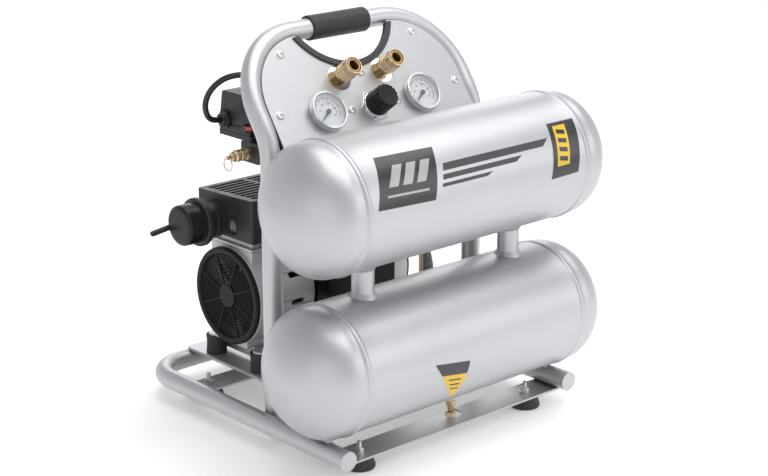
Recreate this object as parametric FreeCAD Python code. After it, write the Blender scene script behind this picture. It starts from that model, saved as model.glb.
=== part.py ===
import FreeCAD, Part
import math
import os

# Portable twin-tank air compressor. Millimetres, +X along the tanks, -Y the operator's side, +Z up.
# The model is built with y = 0 at the tank axes and z = 0 at the floor. export_all() then
# moves it so that the origin is the bottom centre of its box.

# ---- driving dimensions: tanks ------------------------------------------------------------
TANK_R = 82.0            # outer radius of each tank
TANK_WALL = 4.0
TANK_HALF = 255.0        # half the overall length of a tank
HEAD_DEPTH = 72.4        # from the seam between shell and domed head to the end
SKIRT = 12.0             # straight part of the head beyond the seam
KNUCKLE_R = 40.0         # torus part of the head
SEAM_BEAD = 1.4          # how far the seam bead stands out
TANK_GAP = 37.8          # between the two tanks
FLOOR_GAP = 48.0         # under the lower tank
LINK_X = 124.0           # pipes between the tanks
LINK_R = 14.0
LINK_WALL = 3.0
OUTLET_X = -110.0        # upper tank's outlet, at the back
OUTLET_R = 8.0
OUTLET_RISE = 18.2       # above the upper tank's axis
CHECK_X = 84.0           # check valve in the lower tank's back
CHECK_DROP = 5.0         # below the lower tank's axis
CHECK_OUT = 22.0         # from the tank's back to the valve's upright
BUNG_R = 12.0
BUNG_LEN = 10.0
PORT_R = 5.0
DRAIN_X = 24.0
DRAIN_Y = -2.0
DRAIN_BUNG_R = 9.5
DRAIN_BUNG_DROP = 12.0   # below the lower tank
DRAIN_TIP_Z = 6.0
DRAIN_KNOB_R = 6.6
DRAIN_STEM_R = 2.6

# ---- driving dimensions: frame ------------------------------------------------------------
TUBE_R = 12.5            # frame tube, 25 mm outside
TUBE_WALL = 2.0
RAIL_X = 192.0           # half the distance between the base rails
RAIL_Z = 31.1
RAIL_FRONT_Y = -50.9
RAIL_BEND_R = 50.0
HOOP_X = 170.5           # half the distance between the hoop's legs
HOOP_GAP = 32.6          # from the tanks' backs to the legs' axes
HOOP_BEND_RISE = 52.7    # from the upper tank's axis up to where the legs lean back
HOOP_BEND_R = 70.0
HOOP_TILT = 35.0         # degrees from upright
HOOP_TOP = 138.0         # from the bend to the top tube, along the lean
HOOP_CORNER_R = 97.0
GRIP_R = 16.0
GRIP_X = (-45.0, 50.0)
STRIP_T = 3.0            # flat bars that carry the feet
FRONT_STRIP_Y = (-35.0, 8.0)
REAR_STRIP_LEN = 40.0
FOOT_X = 145.0
FRONT_FEET_Y = -17.5
FOOT_R = 20.0
FOOT_TAPER = 3.0
BOLT_R = 3.0
BOLT_STANDS = 15.0       # how far a foot's bolt stands out of its bar
NUT_ACROSS = 10.0
NUT_H = 5.0
WASHER_R = 7.0
WASHER_T = 1.4

# ---- driving dimensions: control panel ----------------------------------------------------
PANEL_GAP = 10.2         # from the hoop's axis in to the panel's edge
PANEL_FRONT = 9.4        # front face in front of the hoop's plane
PANEL_T = 2.0
PANEL_BOTTOM = -15.0
HAND_R = 84.3            # round hand opening in the panel's top edge
HAND_BOTTOM = 79.0
TRIM_T = 2.6             # edge trim, on each side of the sheet and on the edge
TRIM_DEPTH = 6.0
GAUGE_X = 79.0
GAUGE_S = 20.4
GAUGE_R = 25.6
GAUGE_RIM = 2.4
GAUGE_OUT = 12.7
GAUGE_STEM_R = 7.0
DIAL_H = 6.0
NEEDLE_PIN_R = 1.2
NEEDLE_LEN = 17.0
NEEDLE_REST = 216.0      # degrees from the dial's +X, at zero pressure
LENS_T = 1.4
KNOB_S = 17.7
KNOB_R = 17.0
KNOB_LEN = 27.0
KNOB_FLUTES = 18
REGULATOR_R = 19.0
REGULATOR_NECK_R = 14.0
REGULATOR_NUT_R = 20.5
REGULATOR_BACK = -50.0
SPRING_R = 6.4
SPRING_WIRE = 1.1
SPRING_TURNS = 8
COUPLER_X = 35.6
COUPLER_S = 63.0
COUPLER_OUT = 36.5
COUPLER_R = 12.2
COUPLER_BARREL_R = 10.0
COUPLER_HOLE_R = 17.0
COUPLER_BORE_R = 5.6
COUPLER_BORE_LEN = 22.0
TEE_N = -26.0            # the tee to the couplers, behind the hoop's plane
TEE_R = 8.0
SLEEVE_TRAVEL = 4.0
SCREW_R = 2.5
SCREWS = ((-110.0, 105.5), (110.0, 105.5), (-147.0, 28.6), (147.0, 28.6),
          (-38.0, 17.7), (38.0, 17.7), (0.0, 63.8))

# ---- driving dimensions: pump -------------------------------------------------------------
PLATE_T = 4.0            # motor plate
PLATE_HALF = 134.6
PLATE_LAP = 9.6          # how far it reaches in front of the legs' axes
PLATE_BACK = 91.5        # its rear edge and the rear rail, from the pump's middle
RAIL_BACK = 89.0
PUMP_X = 6.0             # middle of the pump
PUMP_BEHIND = 151.4      # from the legs' axes
PUMP_HALF = 134.0        # half the pump's length over its fan covers
RING_R = 66.0            # fan ring of each crankcase
RING_WALL = 5.0
MOUNT_X = 115.6          # rubber mounts, from the pump's middle
MOUNT_Y = 47.5
MOUNT_R = 14.0
MOUNT_H = 25.7
PUMP_FOOT_T = 3.0
FOOT_TAB_R = 11.0
STACK_HALF = 26.0        # stator stack
STATOR_R = 58.0
POST_R = 4.0             # posts that clamp the stack between the crankcases
ROTOR_R = 33.5
AIR_GAP = 0.5
SHAFT_R = 7.5
BEARING_R = 17.0
BEARING_LEN = 12.0
RUNNING_FIT = 0.05       # radial
CASE_INNER = 33.0        # inner end of a crankcase
CASE_R = 60.0
CASE_WALL = 6.0
FAN_FLOOR = 104.0        # partition behind the fan, from the pump's middle
COVER_FACE = 128.0       # where a fan cover seats on its crankcase
COVER_R = 65.5
COVER_SPOKES = 8
FAN_R = 55.0
FAN_BLADES = 7
CYLINDER_X = 80.0        # cylinder axes, from the pump's middle
CYLINDER_BORE_R = 26.0
THROW = 7.0              # crank throw, half the stroke
ECCENTRIC_R = 19.0
PISTON_CLEARANCE = 0.3
PISTON_T = 10.0
DECK_X = (36.0, 124.0)
DECK_Y = 43.0
DECK_TOP = 67.0          # heights above the shaft axis
CYLINDER_TOP = 83.3
HEAD_TOP = 122.0
HEAD_X = (42.0, 118.0)
HEAD_Y = 40.0
HEAD_FINS = 10
PORT_RISE = 96.0         # discharge port, above the shaft axis
SHROUD_TOP = 141.5
SHROUD_FALL = 5.5        # how much lower the shroud's top is at the back
SHROUD_FRONT = 58.0      # in front of and behind the shaft axis
SHROUD_BACK = 58.5
SHROUD_WALL = 2.5
SLOT_ROWS = 9
SLOT_COLUMNS = 4
WINDOW_R = 6.75          # arched sight window in the shroud's end
WINDOW_AHEAD = 16.25
FILTER_BEHIND = 20.4     # air filter's axis, from the shaft axis
FILTER_RISE = 102.7
FILTER_CAP = (31.0, 57.0)          # cap, flange and neck: distances out from the shroud
FILTER_FLANGE = (22.0, 31.0)
FILTER_CAP_R = 27.0
FILTER_FLANGE_R = 32.0
FILTER_NECK_R = 25.0
STUB_R = 3.8
STUB_LEN = 39.0
BOX_WIDTH = 78.0         # capacitor box
BOX_LEFT = 10.0          # from the pump's middle
BOX_AHEAD = (106.0, 68.0)
BOX_RISE = (-24.3, 45.7)
BOX_WALL = 2.5
CAPACITOR_R = 14.5
RESET_R = 4.0
RESET_RISE = 17.7        # above the shaft axis

# ---- driving dimensions: pressure switch and lines ----------------------------------------
SWITCH_X = (-140.0, -78.0)
SWITCH_BEHIND = (77.4, 142.4)      # from the legs' axes
SWITCH_RISE = (-18.1, 39.7)        # from the hoop's bend
SWITCH_TAPER = 8.5       # how far the cover's back leans in at the top
SWITCH_BASE_T = 7.0
SWITCH_WALL = 2.5
MANIFOLD_N = -80.0       # manifold pipe, behind the hoop's plane
MANIFOLD_R = 9.0
MANIFOLD_BLOCK = 26.4    # height of the block under the switch
LEVER_LEN = 17.0
LEVER_REST = 80.0        # degrees, from upright towards the operator
GLAND_ACROSS = 21.0
GLAND_NOSE_R = (9.4, 7.6)          # its cone, wide and narrow end
GLAND_LEN = 9.0
VALVE_LEN = 30.0         # safety valve
STEM_R = 2.4
PULL_RING_R = 8.2
PULL_RING_WIRE = 0.9
LEAD_R = 3.75            # motor lead
HOSE_R = 7.0             # discharge hose
HOSE_BORE_R = 3.5
FERRULE_R = 8.5
FERRULE_LEN = 20.0
UNLOADER_R = 3.0
UNLOADER_WALL = 1.0

# ---- places that follow from the driving dimensions ---------------------------------------
SEAM_X = TANK_HALF - HEAD_DEPTH
LOWER_Z = FLOOR_GAP + TANK_R
UPPER_Z = LOWER_Z + 2 * TANK_R + TANK_GAP
TANK_BACK = TANK_R - 6.0                          # where the bungs at the back start
DRAIN_BUNG_Z = LOWER_Z - TANK_R - DRAIN_BUNG_DROP
OUTLET_Z = UPPER_Z + OUTLET_RISE
CHECK_Y = TANK_R + CHECK_OUT
CHECK_Z = LOWER_Z - CHECK_DROP
CHECK_TOP = CHECK_Z + 18.0

HOOP_Y = TANK_R + HOOP_GAP
HOOP_BEND_Z = UPPER_Z + HOOP_BEND_RISE
STRIP_TOP = RAIL_Z - TUBE_R
STRIP_Z = STRIP_TOP - STRIP_T
PLATE_TOP = RAIL_Z + TUBE_R + PLATE_T
PUMP_Y = HOOP_Y + PUMP_BEHIND
PUMP_Z = PLATE_TOP + MOUNT_H + PUMP_FOOT_T + RING_R
PLATE_FRONT_Y = HOOP_Y - PLATE_LAP
PLATE_REAR_Y = PUMP_Y + PLATE_BACK
RAIL_REAR_Y = PUMP_Y + RAIL_BACK
STRIPS_Y = (FRONT_STRIP_Y, (PUMP_Y, PUMP_Y + REAR_STRIP_LEN))
FEET_Y = (FRONT_FEET_Y, PUMP_Y + REAR_STRIP_LEN / 2)
PANEL_BACK = PANEL_FRONT - PANEL_T

SHROUD_Y = (PUMP_Y - SHROUD_FRONT, PUMP_Y + SHROUD_BACK)
FILTER_Y = PUMP_Y + FILTER_BEHIND
FILTER_Z = PUMP_Z + FILTER_RISE
WINDOW_Y = PUMP_Y - WINDOW_AHEAD
HEAD_PORT = (PUMP_X + CYLINDER_X, PUMP_Z + PORT_RISE)
BOX_X = (PUMP_X - BOX_LEFT, PUMP_X - BOX_LEFT + BOX_WIDTH)
BOX_Y = (PUMP_Y - BOX_AHEAD[0], PUMP_Y - BOX_AHEAD[1])
BOX_Z = (PUMP_Z + BOX_RISE[0], PUMP_Z + BOX_RISE[1])
BOX_MIDDLE_Y = (BOX_Y[0] + BOX_Y[1]) / 2
RESET_Z = PUMP_Z + RESET_RISE

SWITCH_Y = (HOOP_Y + SWITCH_BEHIND[0], HOOP_Y + SWITCH_BEHIND[1])
SWITCH_Z = (HOOP_BEND_Z + SWITCH_RISE[0], HOOP_BEND_Z + SWITCH_RISE[1])
LEVER_Y = SWITCH_Y[0] + 6.5
LEVER_Z = SWITCH_Z[0] + 17.1
GLAND_Y = SWITCH_Y[0] + 49.0
GLAND_Z = SWITCH_Z[0] + 22.1
INLET_X = SWITCH_X[0] + 30.0
INLET_Z = SWITCH_Z[0] + 25.6
VALVE_Y = SWITCH_Y[0]
VALVE_Z = SWITCH_Z[0] - 13.4

# ---- routes of the flexible lines ---------------------------------------------------------
# The motor lead leaves the switch, loops up behind the hoop and drops to the capacitor box.
LEAD = [(SWITCH_X[0] - GLAND_LEN, GLAND_Y, GLAND_Z), (-160, 241, GLAND_Z), (-170, 240, 397), (-174, 238, 414),
        (-168.5, 232, 432), (-155, 221.5, 446), (-137, 208, 450.5), (-118, 194, 444),
        (-101, 181, 430), (-88, 170, 410), (-78, 162, 384), (-68, 155, 350),
        (-58, 150, 312), (-40, 150, 276), (-14, 155, 250), (14, 164, 236),
        (40, BOX_MIDDLE_Y, 224), (40, BOX_MIDDLE_Y, BOX_Z[1] + 12)]
# The discharge hose climbs from the check valve on the lower tank to the right head.
HOSE = [(CHECK_X, CHECK_Y, CHECK_TOP + FERRULE_LEN), (CHECK_X, CHECK_Y, CHECK_TOP + 43),
        (CHECK_X - 8, CHECK_Y + 12, CHECK_TOP + 81), (CHECK_X - 7, PUMP_Y - 122, HEAD_PORT[1] + 1.7),
        (HEAD_PORT[0], PUMP_Y - 96, HEAD_PORT[1]), (HEAD_PORT[0], PUMP_Y - 76, HEAD_PORT[1])]
# The unloader tube climbs from the check valve to the underside of the switch block.
BLOCK_Z = SWITCH_Z[0] - MANIFOLD_BLOCK
UNLOADER = [(CHECK_X - 10, CHECK_Y, CHECK_Z + 6), (CHECK_X - 15, CHECK_Y, CHECK_Z + 6),
            (CHECK_X - 15, CHECK_Y, CHECK_Z + 95), (30, HOOP_Y + 13.4, BLOCK_Z - 40),
            (-70, HOOP_Y + 13.4, BLOCK_Z - 22), (-100, SWITCH_Y[0] - 2, BLOCK_Z - 18),
            (-100, SWITCH_Y[0] - 2, BLOCK_Z)]
UNLOADER_BENDS = [4, 18, 18, 18, 10]

V = FreeCAD.Vector
X, Y, Z = V(1, 0, 0), V(0, 1, 0), V(0, 0, 1)
TILT = math.radians(HOOP_TILT)
LEAN = V(0, math.sin(TILT), math.cos(TILT))       # along the leaning part of the hoop
OUT = V(0, -math.cos(TILT), math.sin(TILT))       # out of the panel, towards the operator
BEND = V(0, HOOP_Y, HOOP_BEND_Z)
PANEL_FRAME = FreeCAD.Placement(BEND, FreeCAD.Rotation(X, 90.0 - HOOP_TILT))


# ---- shapes -------------------------------------------------------------------------------
def rod(base, axis, radius, length):
    return Part.makeCylinder(radius, length, V(*base), V(*axis))


def ring(base, axis, outer, inner, length):
    return rod(base, axis, outer, length).cut(rod(base, axis, inner, length))


def cone(base, axis, r1, r2, length):
    return Part.makeCone(r1, r2, length, V(*base), V(*axis))


def block(x, y, z):
    size = (x[1] - x[0], y[1] - y[0], z[1] - z[0])
    return Part.makeBox(*size, V(x[0], y[0], z[0]))


def rounded(shape, radius, along):
    """Fillets the straight edges that run along one axis."""
    picked = []
    for edge in shape.Edges:
        if edge.Curve.TypeId == "Part::GeomLine":
            if abs(abs(edge.tangentAt(edge.FirstParameter).dot(along)) - 1) < 1e-6:
                picked.append(edge)
    return shape.makeFillet(radius, picked)


def hexagon(base, axis, across, length):
    """A hexagonal bar, from its size across the flats."""
    axis = V(*axis)
    turn = FreeCAD.Rotation(Z, axis)
    corners = []
    for i in range(7):
        angle = math.radians(60 * i + 30)
        radius = across / math.sqrt(3)
        corners.append(V(*base) + turn.multVec(V(radius * math.cos(angle), radius * math.sin(angle), 0)))
    return Part.Face(Part.makePolygon(corners)).extrude(axis * length)


def fused(shapes):
    return shapes[0].multiFuse(shapes[1:]).removeSplitter() if len(shapes) > 1 else shapes[0]


def group(shapes):
    return Part.makeCompound(shapes)


def mirrored(shape):
    return shape.mirror(V(0, 0, 0), X)


def corner_radius(before, point, after):
    """As large an arc as the two runs beside a corner leave room for."""
    first, second = point - before, after - point
    return 0.45 * min(first.Length, second.Length) / math.tan(first.getAngle(second) / 2)


def route(points, radii=None):
    """Straight runs joined by tangent arcs."""
    points = [V(*p) for p in points]
    edges = []
    start = points[0]
    for i in range(1, len(points) - 1):
        radius = radii[i - 1] if radii else corner_radius(*points[i - 1:i + 2])
        first = (points[i] - points[i - 1]).normalize()
        second = (points[i + 1] - points[i]).normalize()
        turn = first.getAngle(second)
        back = radius * math.tan(turn / 2)
        enter, leave = points[i] - first * back, points[i] + second * back
        bisector = (second - first).normalize()
        centre = points[i] + bisector * (radius / math.cos(turn / 2))
        middle = centre - bisector * radius
        if (enter - start).Length > 1e-6:
            edges.append(Part.LineSegment(start, enter).toShape())
        edges.append(Part.Arc(enter, middle, leave).toShape())
        start = leave
    edges.append(Part.LineSegment(start, points[-1]).toShape())
    return Part.Wire(edges)


def swept(path, radius):
    start = path.Edges[0]
    direction = start.tangentAt(start.FirstParameter)
    circle = Part.Wire(Part.makeCircle(radius, start.valueAt(start.FirstParameter), direction))
    solid = path.makePipeShell([circle], True, False)
    expected = math.pi * radius ** 2 * path.Length
    if abs(solid.Volume / expected - 1) > 0.02:
        raise ValueError("a swept tube has the wrong volume")
    return solid


def tube(points, radii, outer, inner):
    path = route(points, radii)
    return swept(path, outer).cut(swept(path, inner))


def on_panel(shape):
    """Places a shape built with x across, y up the lean and z out of the panel."""
    placed = shape.copy()
    placed.Placement = PANEL_FRAME.multiply(placed.Placement)
    return placed


def panel_point(x, s, n):
    return BEND + V(x, 0, 0) + LEAN * s + OUT * n


# ---- tanks --------------------------------------------------------------------------------
def tank_body(z, radius, half, knuckle):
    """Solid of a tank's outer or inner surface: shell, skirts and two torispherical heads."""
    skirt_end = SEAM_X + SKIRT
    depth = half - skirt_end
    crown = (depth ** 2 + (radius - knuckle) ** 2 - knuckle ** 2) / (2 * (depth - knuckle))
    centre = V(half - crown, 0, 0)
    knuckle_centre = V(skirt_end, radius - knuckle, 0)
    outward = (knuckle_centre - centre).normalize()
    tangent = centre + outward * crown
    middle = knuckle_centre + V(outward.x, outward.y + 1, 0).normalize() * knuckle
    half_angle = math.atan2(outward.y, outward.x) / 2
    crown_middle = centre + V(math.cos(half_angle), math.sin(half_angle), 0) * crown
    right = [Part.Arc(V(skirt_end, radius, 0), middle, tangent).toShape(),
             Part.Arc(tangent, crown_middle, V(half, 0, 0)).toShape()]
    left = [edge.mirror(V(0, 0, 0), X) for edge in right]
    top = Part.LineSegment(V(-skirt_end, radius, 0), V(skirt_end, radius, 0)).toShape()
    axis = Part.LineSegment(V(-half, 0, 0), V(half, 0, 0)).toShape()
    wire = Part.Wire(Part.__sortEdges__(right + left + [top, axis]))
    solid = Part.Face(wire).revolve(V(0, 0, 0), X, 360)
    solid.translate(V(0, 0, z))
    return solid


def outer_tank(z):
    bead = Part.makeTorus(TANK_R - 1.6, 1.6 + SEAM_BEAD, V(SEAM_X, 0, z), X)
    return fused([tank_body(z, TANK_R, TANK_HALF, KNUCKLE_R), bead, mirrored(bead)])


def inner_tank(z):
    return tank_body(z, TANK_R - TANK_WALL, TANK_HALF - TANK_WALL, KNUCKLE_R - TANK_WALL)


def upper_tank():
    bung = rod((OUTLET_X, TANK_BACK, OUTLET_Z), Y, BUNG_R, BUNG_LEN)
    shell = fused([outer_tank(UPPER_Z), bung]).cut(inner_tank(UPPER_Z))
    for x in (-LINK_X, LINK_X):
        shell = shell.cut(rod((x, 0, UPPER_Z - TANK_R - 5), Z, LINK_R - LINK_WALL, 15))
    return shell.cut(rod((OUTLET_X, TANK_R - 20, OUTLET_Z), Y, PORT_R, 40))


def lower_tank():
    back = rod((CHECK_X, TANK_BACK, CHECK_Z), Y, BUNG_R, BUNG_LEN)
    under = rod((DRAIN_X, DRAIN_Y, DRAIN_BUNG_Z), Z, DRAIN_BUNG_R, 16)
    shell = fused([outer_tank(LOWER_Z), back, under]).cut(inner_tank(LOWER_Z))
    for x in (-LINK_X, LINK_X):
        shell = shell.cut(rod((x, 0, LOWER_Z + TANK_R - 10), Z, LINK_R - LINK_WALL, 15))
    shell = shell.cut(rod((DRAIN_X, DRAIN_Y, DRAIN_BUNG_Z - 1), Z, PORT_R, 30))
    return shell.cut(rod((CHECK_X, TANK_R - 20, CHECK_Z), Y, PORT_R, 40))


def tank_link_pipes():
    """Two pipes join the tanks, with a weld fillet at each end."""
    low, high = LOWER_Z + TANK_R - 4, UPPER_Z - TANK_R + 4
    pipes = []
    for x in (-LINK_X, LINK_X):
        pipe = fused([rod((x, 0, low), Z, LINK_R, high - low),
                      cone((x, 0, low), Z, LINK_R + 6, LINK_R, 9),
                      cone((x, 0, high - 9), Z, LINK_R, LINK_R + 6, 9)])
        pipe = pipe.cut(rod((x, 0, low - 1), Z, LINK_R - LINK_WALL, high - low + 2))
        pipes.append(pipe.cut(outer_tank(LOWER_Z)).cut(outer_tank(UPPER_Z)))
    return group(pipes)


def tank_brackets():
    """Saddle blocks between the hoop's legs and the tanks, and pads on the rails."""
    leg = rod((HOOP_X, HOOP_Y, 0), Z, TUBE_R, HOOP_BEND_Z)
    blocks = []
    for z in (LOWER_Z, UPPER_Z):
        saddle = block((HOOP_X - 10, HOOP_X + 8), (TANK_R - 14, HOOP_Y), (z - 22, z + 22))
        blocks.append(saddle.cut(leg).cut(outer_tank(z)))
    pad = block((RAIL_X - 7, RAIL_X + 2), (-16, 16), (RAIL_Z, LOWER_Z - TANK_R + 4))
    rail = rod((RAIL_X, -30, RAIL_Z), Y, TUBE_R, 60)
    blocks.append(pad.cut(rail).cut(outer_tank(LOWER_Z)))
    solids = []
    for piece in blocks:
        biggest = max(piece.Solids, key=lambda solid: solid.Volume)
        solids += [biggest, mirrored(biggest)]
    return group(solids)


# ---- frame --------------------------------------------------------------------------------
def base_rails():
    """One bent tube: two rails and the rear crossbar, with flat welded caps in front."""
    points = [(-RAIL_X, RAIL_FRONT_Y, RAIL_Z), (-RAIL_X, RAIL_REAR_Y, RAIL_Z),
              (RAIL_X, RAIL_REAR_Y, RAIL_Z), (RAIL_X, RAIL_FRONT_Y, RAIL_Z)]
    rails = tube(points, [RAIL_BEND_R, RAIL_BEND_R], TUBE_R, TUBE_R - TUBE_WALL)
    caps = [rod((x, RAIL_FRONT_Y, RAIL_Z), Y, TUBE_R, 2) for x in (-RAIL_X, RAIL_X)]
    return fused([rails] + caps)


def hoop_solid(radius):
    side = HOOP_X
    foot_z = RAIL_Z - 5.0
    top = [panel_point(x, HOOP_TOP, 0) for x in (-side, side)]
    points = [V(-side, HOOP_Y, foot_z), BEND + V(-side, 0, 0), top[0],
              top[1], BEND + V(side, 0, 0), V(side, HOOP_Y, foot_z)]
    radii = [HOOP_BEND_R, HOOP_CORNER_R, HOOP_CORNER_R, HOOP_BEND_R]
    return swept(route(points, radii), radius)


def hoop_frame():
    """Two legs and the leaning handle arch, one bent tube, coped onto the rails."""
    hoop = hoop_solid(TUBE_R).cut(hoop_solid(TUBE_R - TUBE_WALL))
    for x in (-RAIL_X, RAIL_X):
        hoop = hoop.cut(rod((x, 50, RAIL_Z), Y, TUBE_R, 130))
    return max(hoop.Solids, key=lambda solid: solid.Volume)


def base_crossmembers():
    """The cross tube between the legs, and the flat bars that carry the feet."""
    tie = ring((-HOOP_X, HOOP_Y, RAIL_Z), X, TUBE_R, TUBE_R - TUBE_WALL, 2 * HOOP_X)
    for x in (-HOOP_X, HOOP_X):
        tie = tie.cut(rod((x, HOOP_Y, 0), Z, TUBE_R, 80))
    bars = [max(tie.Solids, key=lambda solid: solid.Volume)]
    drain = rod((DRAIN_X, DRAIN_Y, 0), Z, 14, 40)
    for y, foot_y in zip(STRIPS_Y, FEET_Y):
        bar = block((-RAIL_X, RAIL_X), y, (STRIP_Z, STRIP_TOP))
        for x in (-FOOT_X, FOOT_X):
            bar = bar.cut(rod((x, foot_y, 0), Z, BOLT_R, 40))
        bars.append(bar.cut(drain))
    return group(bars)


def foot_places():
    return [(x, y) for y in FEET_Y for x in (-FOOT_X, FOOT_X)]


def rubber_feet():
    feet = []
    for x, y in foot_places():
        foot = cone((x, y, 0), Z, FOOT_R, FOOT_R - FOOT_TAPER, STRIP_Z)
        foot = foot.cut(rod((x, y, 5), Z, BOLT_R, STRIP_Z))
        feet.append(foot)
    return group(feet)


def frame_fasteners():
    """Bolts that stand up out of the feet, with their washers and nuts."""
    pieces = []
    for x, y in foot_places():
        pieces.append(rod((x, y, 5), Z, BOLT_R, STRIP_TOP + BOLT_STANDS - 5))
        pieces.append(ring((x, y, STRIP_TOP), Z, WASHER_R, BOLT_R, WASHER_T))
        nut = hexagon((x, y, STRIP_TOP + WASHER_T), (0, 0, 1), NUT_ACROSS, NUT_H)
        pieces.append(nut.cut(rod((x, y, 0), Z, BOLT_R, 60)))
    return group(pieces)


def handle_grip():
    grip = ring((GRIP_X[0], HOOP_TOP, 0), X, GRIP_R, TUBE_R, GRIP_X[1] - GRIP_X[0])
    return on_panel(grip)


# ---- control panel ------------------------------------------------------------------------
def panel_outline(back, front, inset=0.0):
    """The panel's sheet without holes, between two distances from the hoop's plane."""
    side = HOOP_X - PANEL_GAP - inset
    top = HOOP_TOP - PANEL_GAP - inset
    radius = HOOP_CORNER_R - PANEL_GAP - inset
    sheet = block((-side, side), (PANEL_BOTTOM, top), (back, front))
    corners = []
    for edge in sheet.Edges:
        ends = [vertex.Point for vertex in edge.Vertexes]
        if all(abs(p.y - top) < 1e-6 for p in ends) and abs(ends[0].z - ends[1].z) > 1e-6:
            corners.append(edge)
    sheet = sheet.makeFillet(radius, corners)
    return sheet.cut(rod((0, HAND_BOTTOM + HAND_R, back - 1), Z, HAND_R, front - back + 2))


def control_panel():
    sheet = panel_outline(PANEL_BACK, PANEL_FRONT)
    holes = [((x, COUPLER_S), COUPLER_HOLE_R) for x in (-COUPLER_X, COUPLER_X)]
    holes += [((x, GAUGE_S), GAUGE_STEM_R) for x in (-GAUGE_X, GAUGE_X)]
    holes += [((0, KNOB_S), REGULATOR_NECK_R)]
    holes += [(place, SCREW_R) for place in SCREWS]
    for (x, s), radius in holes:
        sheet = sheet.cut(rod((x, s, 0), Z, radius, 20))
    return on_panel(sheet)


def panel_edge_trim():
    """Rubber channel pushed onto the rim of the hand opening."""
    centre = (0, HAND_BOTTOM + HAND_R)
    back, front = PANEL_BACK - TRIM_T, PANEL_FRONT + TRIM_T
    outer = rod((*centre, back), Z, HAND_R + TRIM_DEPTH, front - back)
    inner = rod((*centre, back - 1), Z, HAND_R - TRIM_T, front - back + 2)
    sheet = ring((*centre, PANEL_BACK), Z, HAND_R + TRIM_DEPTH + 1, HAND_R, PANEL_T)
    below = HOOP_TOP - TUBE_R - 0.2
    keep = block((-100, 100), (0, below), (-50, 50))
    return on_panel(outer.cut(inner).cut(sheet).common(keep))


def panel_screws():
    screws = []
    for x, s in SCREWS:
        screws.append(ring((x, s, PANEL_FRONT), Z, 6.5, SCREW_R, 1.0))
        head = Part.makeSphere(6.0, V(x, s, PANEL_FRONT - 2.6), Z, 0, 90, 360)
        head = head.common(rod((x, s, PANEL_FRONT + 1.0), Z, 5.0, 6))
        head = head.cut(hexagon((x, s, PANEL_FRONT + 2.2), (0, 0, 1), 2.5, 5))
        screws.append(fused([head, rod((x, s, -2), Z, SCREW_R, PANEL_FRONT + 3.2)]))
    return on_panel(group(screws))


def gauge_bodies():
    gauges = []
    for x in (-GAUGE_X, GAUGE_X):
        rim = PANEL_FRONT + GAUGE_OUT
        case = rod((x, GAUGE_S, PANEL_FRONT), Z, GAUGE_R, GAUGE_OUT)
        case = case.cut(rod((x, GAUGE_S, PANEL_FRONT + DIAL_H), Z, GAUGE_R - GAUGE_RIM, GAUGE_OUT))
        stem = rod((x, GAUGE_S, -16), Z, GAUGE_STEM_R, PANEL_FRONT + 17)
        hub = rod((x, GAUGE_S, PANEL_FRONT), Z, NEEDLE_PIN_R, rim - PANEL_FRONT - 3.4)
        gauges.append(fused([case, stem, hub]))
    return on_panel(group(gauges))


def gauge_lenses():
    back = PANEL_FRONT + GAUGE_OUT - 0.8 - LENS_T
    lenses = [rod((x, GAUGE_S, back), Z, GAUGE_R - GAUGE_RIM, LENS_T) for x in (-GAUGE_X, GAUGE_X)]
    return on_panel(group(lenses))


def gauge_needle(x):
    """Tapered pointer on a boss that turns on the gauge's pin."""
    base = PANEL_FRONT + DIAL_H + 0.8
    hub = ring((0, 0, 0), Z, 3.0, NEEDLE_PIN_R + RUNNING_FIT, 1.6)
    corners = [V(2.5, -1.2, 0.2), V(NEEDLE_LEN, -0.4, 0.2), V(NEEDLE_LEN, 0.4, 0.2),
               V(2.5, 1.2, 0.2), V(2.5, -1.2, 0.2)]
    pointer = Part.Face(Part.makePolygon(corners)).extrude(V(0, 0, 0.8))
    needle = fused([hub, pointer])
    needle.rotate(V(0, 0, 0), Z, NEEDLE_REST)
    needle.translate(V(x, GAUGE_S, base))
    return on_panel(needle)


# ---- regulator, couplers and manifold -----------------------------------------------------
def regulator_body():
    """Body behind the panel with its tee to the couplers, threaded neck and ring nut."""
    pieces = [rod((0, KNOB_S, REGULATOR_BACK), Z, REGULATOR_R, PANEL_BACK - REGULATOR_BACK),
              rod((0, KNOB_S, 0), Z, REGULATOR_NECK_R, PANEL_FRONT + 6),
              ring((0, KNOB_S, PANEL_FRONT), Z, REGULATOR_NUT_R, REGULATOR_NECK_R, 4.5),
              rod((-COUPLER_X, COUPLER_S, TEE_N), X, TEE_R, 2 * COUPLER_X),
              rod((0, KNOB_S, TEE_N), Y, TEE_R, COUPLER_S - KNOB_S)]
    pieces += [rod((x, COUPLER_S, TEE_N - TEE_R), Z, TEE_R + 1, 24) for x in (-COUPLER_X, COUPLER_X)]
    body = fused(pieces)
    return on_panel(body.cut(rod((0, KNOB_S, -35), Z, SPRING_R + SPRING_WIRE + 0.5, 80)))


def regulator_spring():
    """Helical spring that loads the diaphragm, drawn as its coils' outline."""
    turns = []
    for i in range(SPRING_TURNS):
        turns.append(Part.makeTorus(SPRING_R, SPRING_WIRE, V(0, KNOB_S, -30 + 4.4 * i), Z))
    return on_panel(fused([ring((0, KNOB_S, -30), Z, SPRING_R + 0.8, SPRING_R - 0.8, 31)] + turns))


def regulator_knob():
    start = PANEL_FRONT + 6.3
    knob = cone((0, KNOB_S, start), Z, KNOB_R, KNOB_R - 1.2, KNOB_LEN)
    flutes = []
    for i in range(KNOB_FLUTES):
        angle = 2 * math.pi * i / KNOB_FLUTES
        x, s = (KNOB_R + 0.6) * math.cos(angle), (KNOB_R + 0.6) * math.sin(angle)
        flutes.append(rod((x, KNOB_S + s, start + 4), Z, 1.7, KNOB_LEN))
    return on_panel(knob.cut(fused(flutes)))


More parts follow.
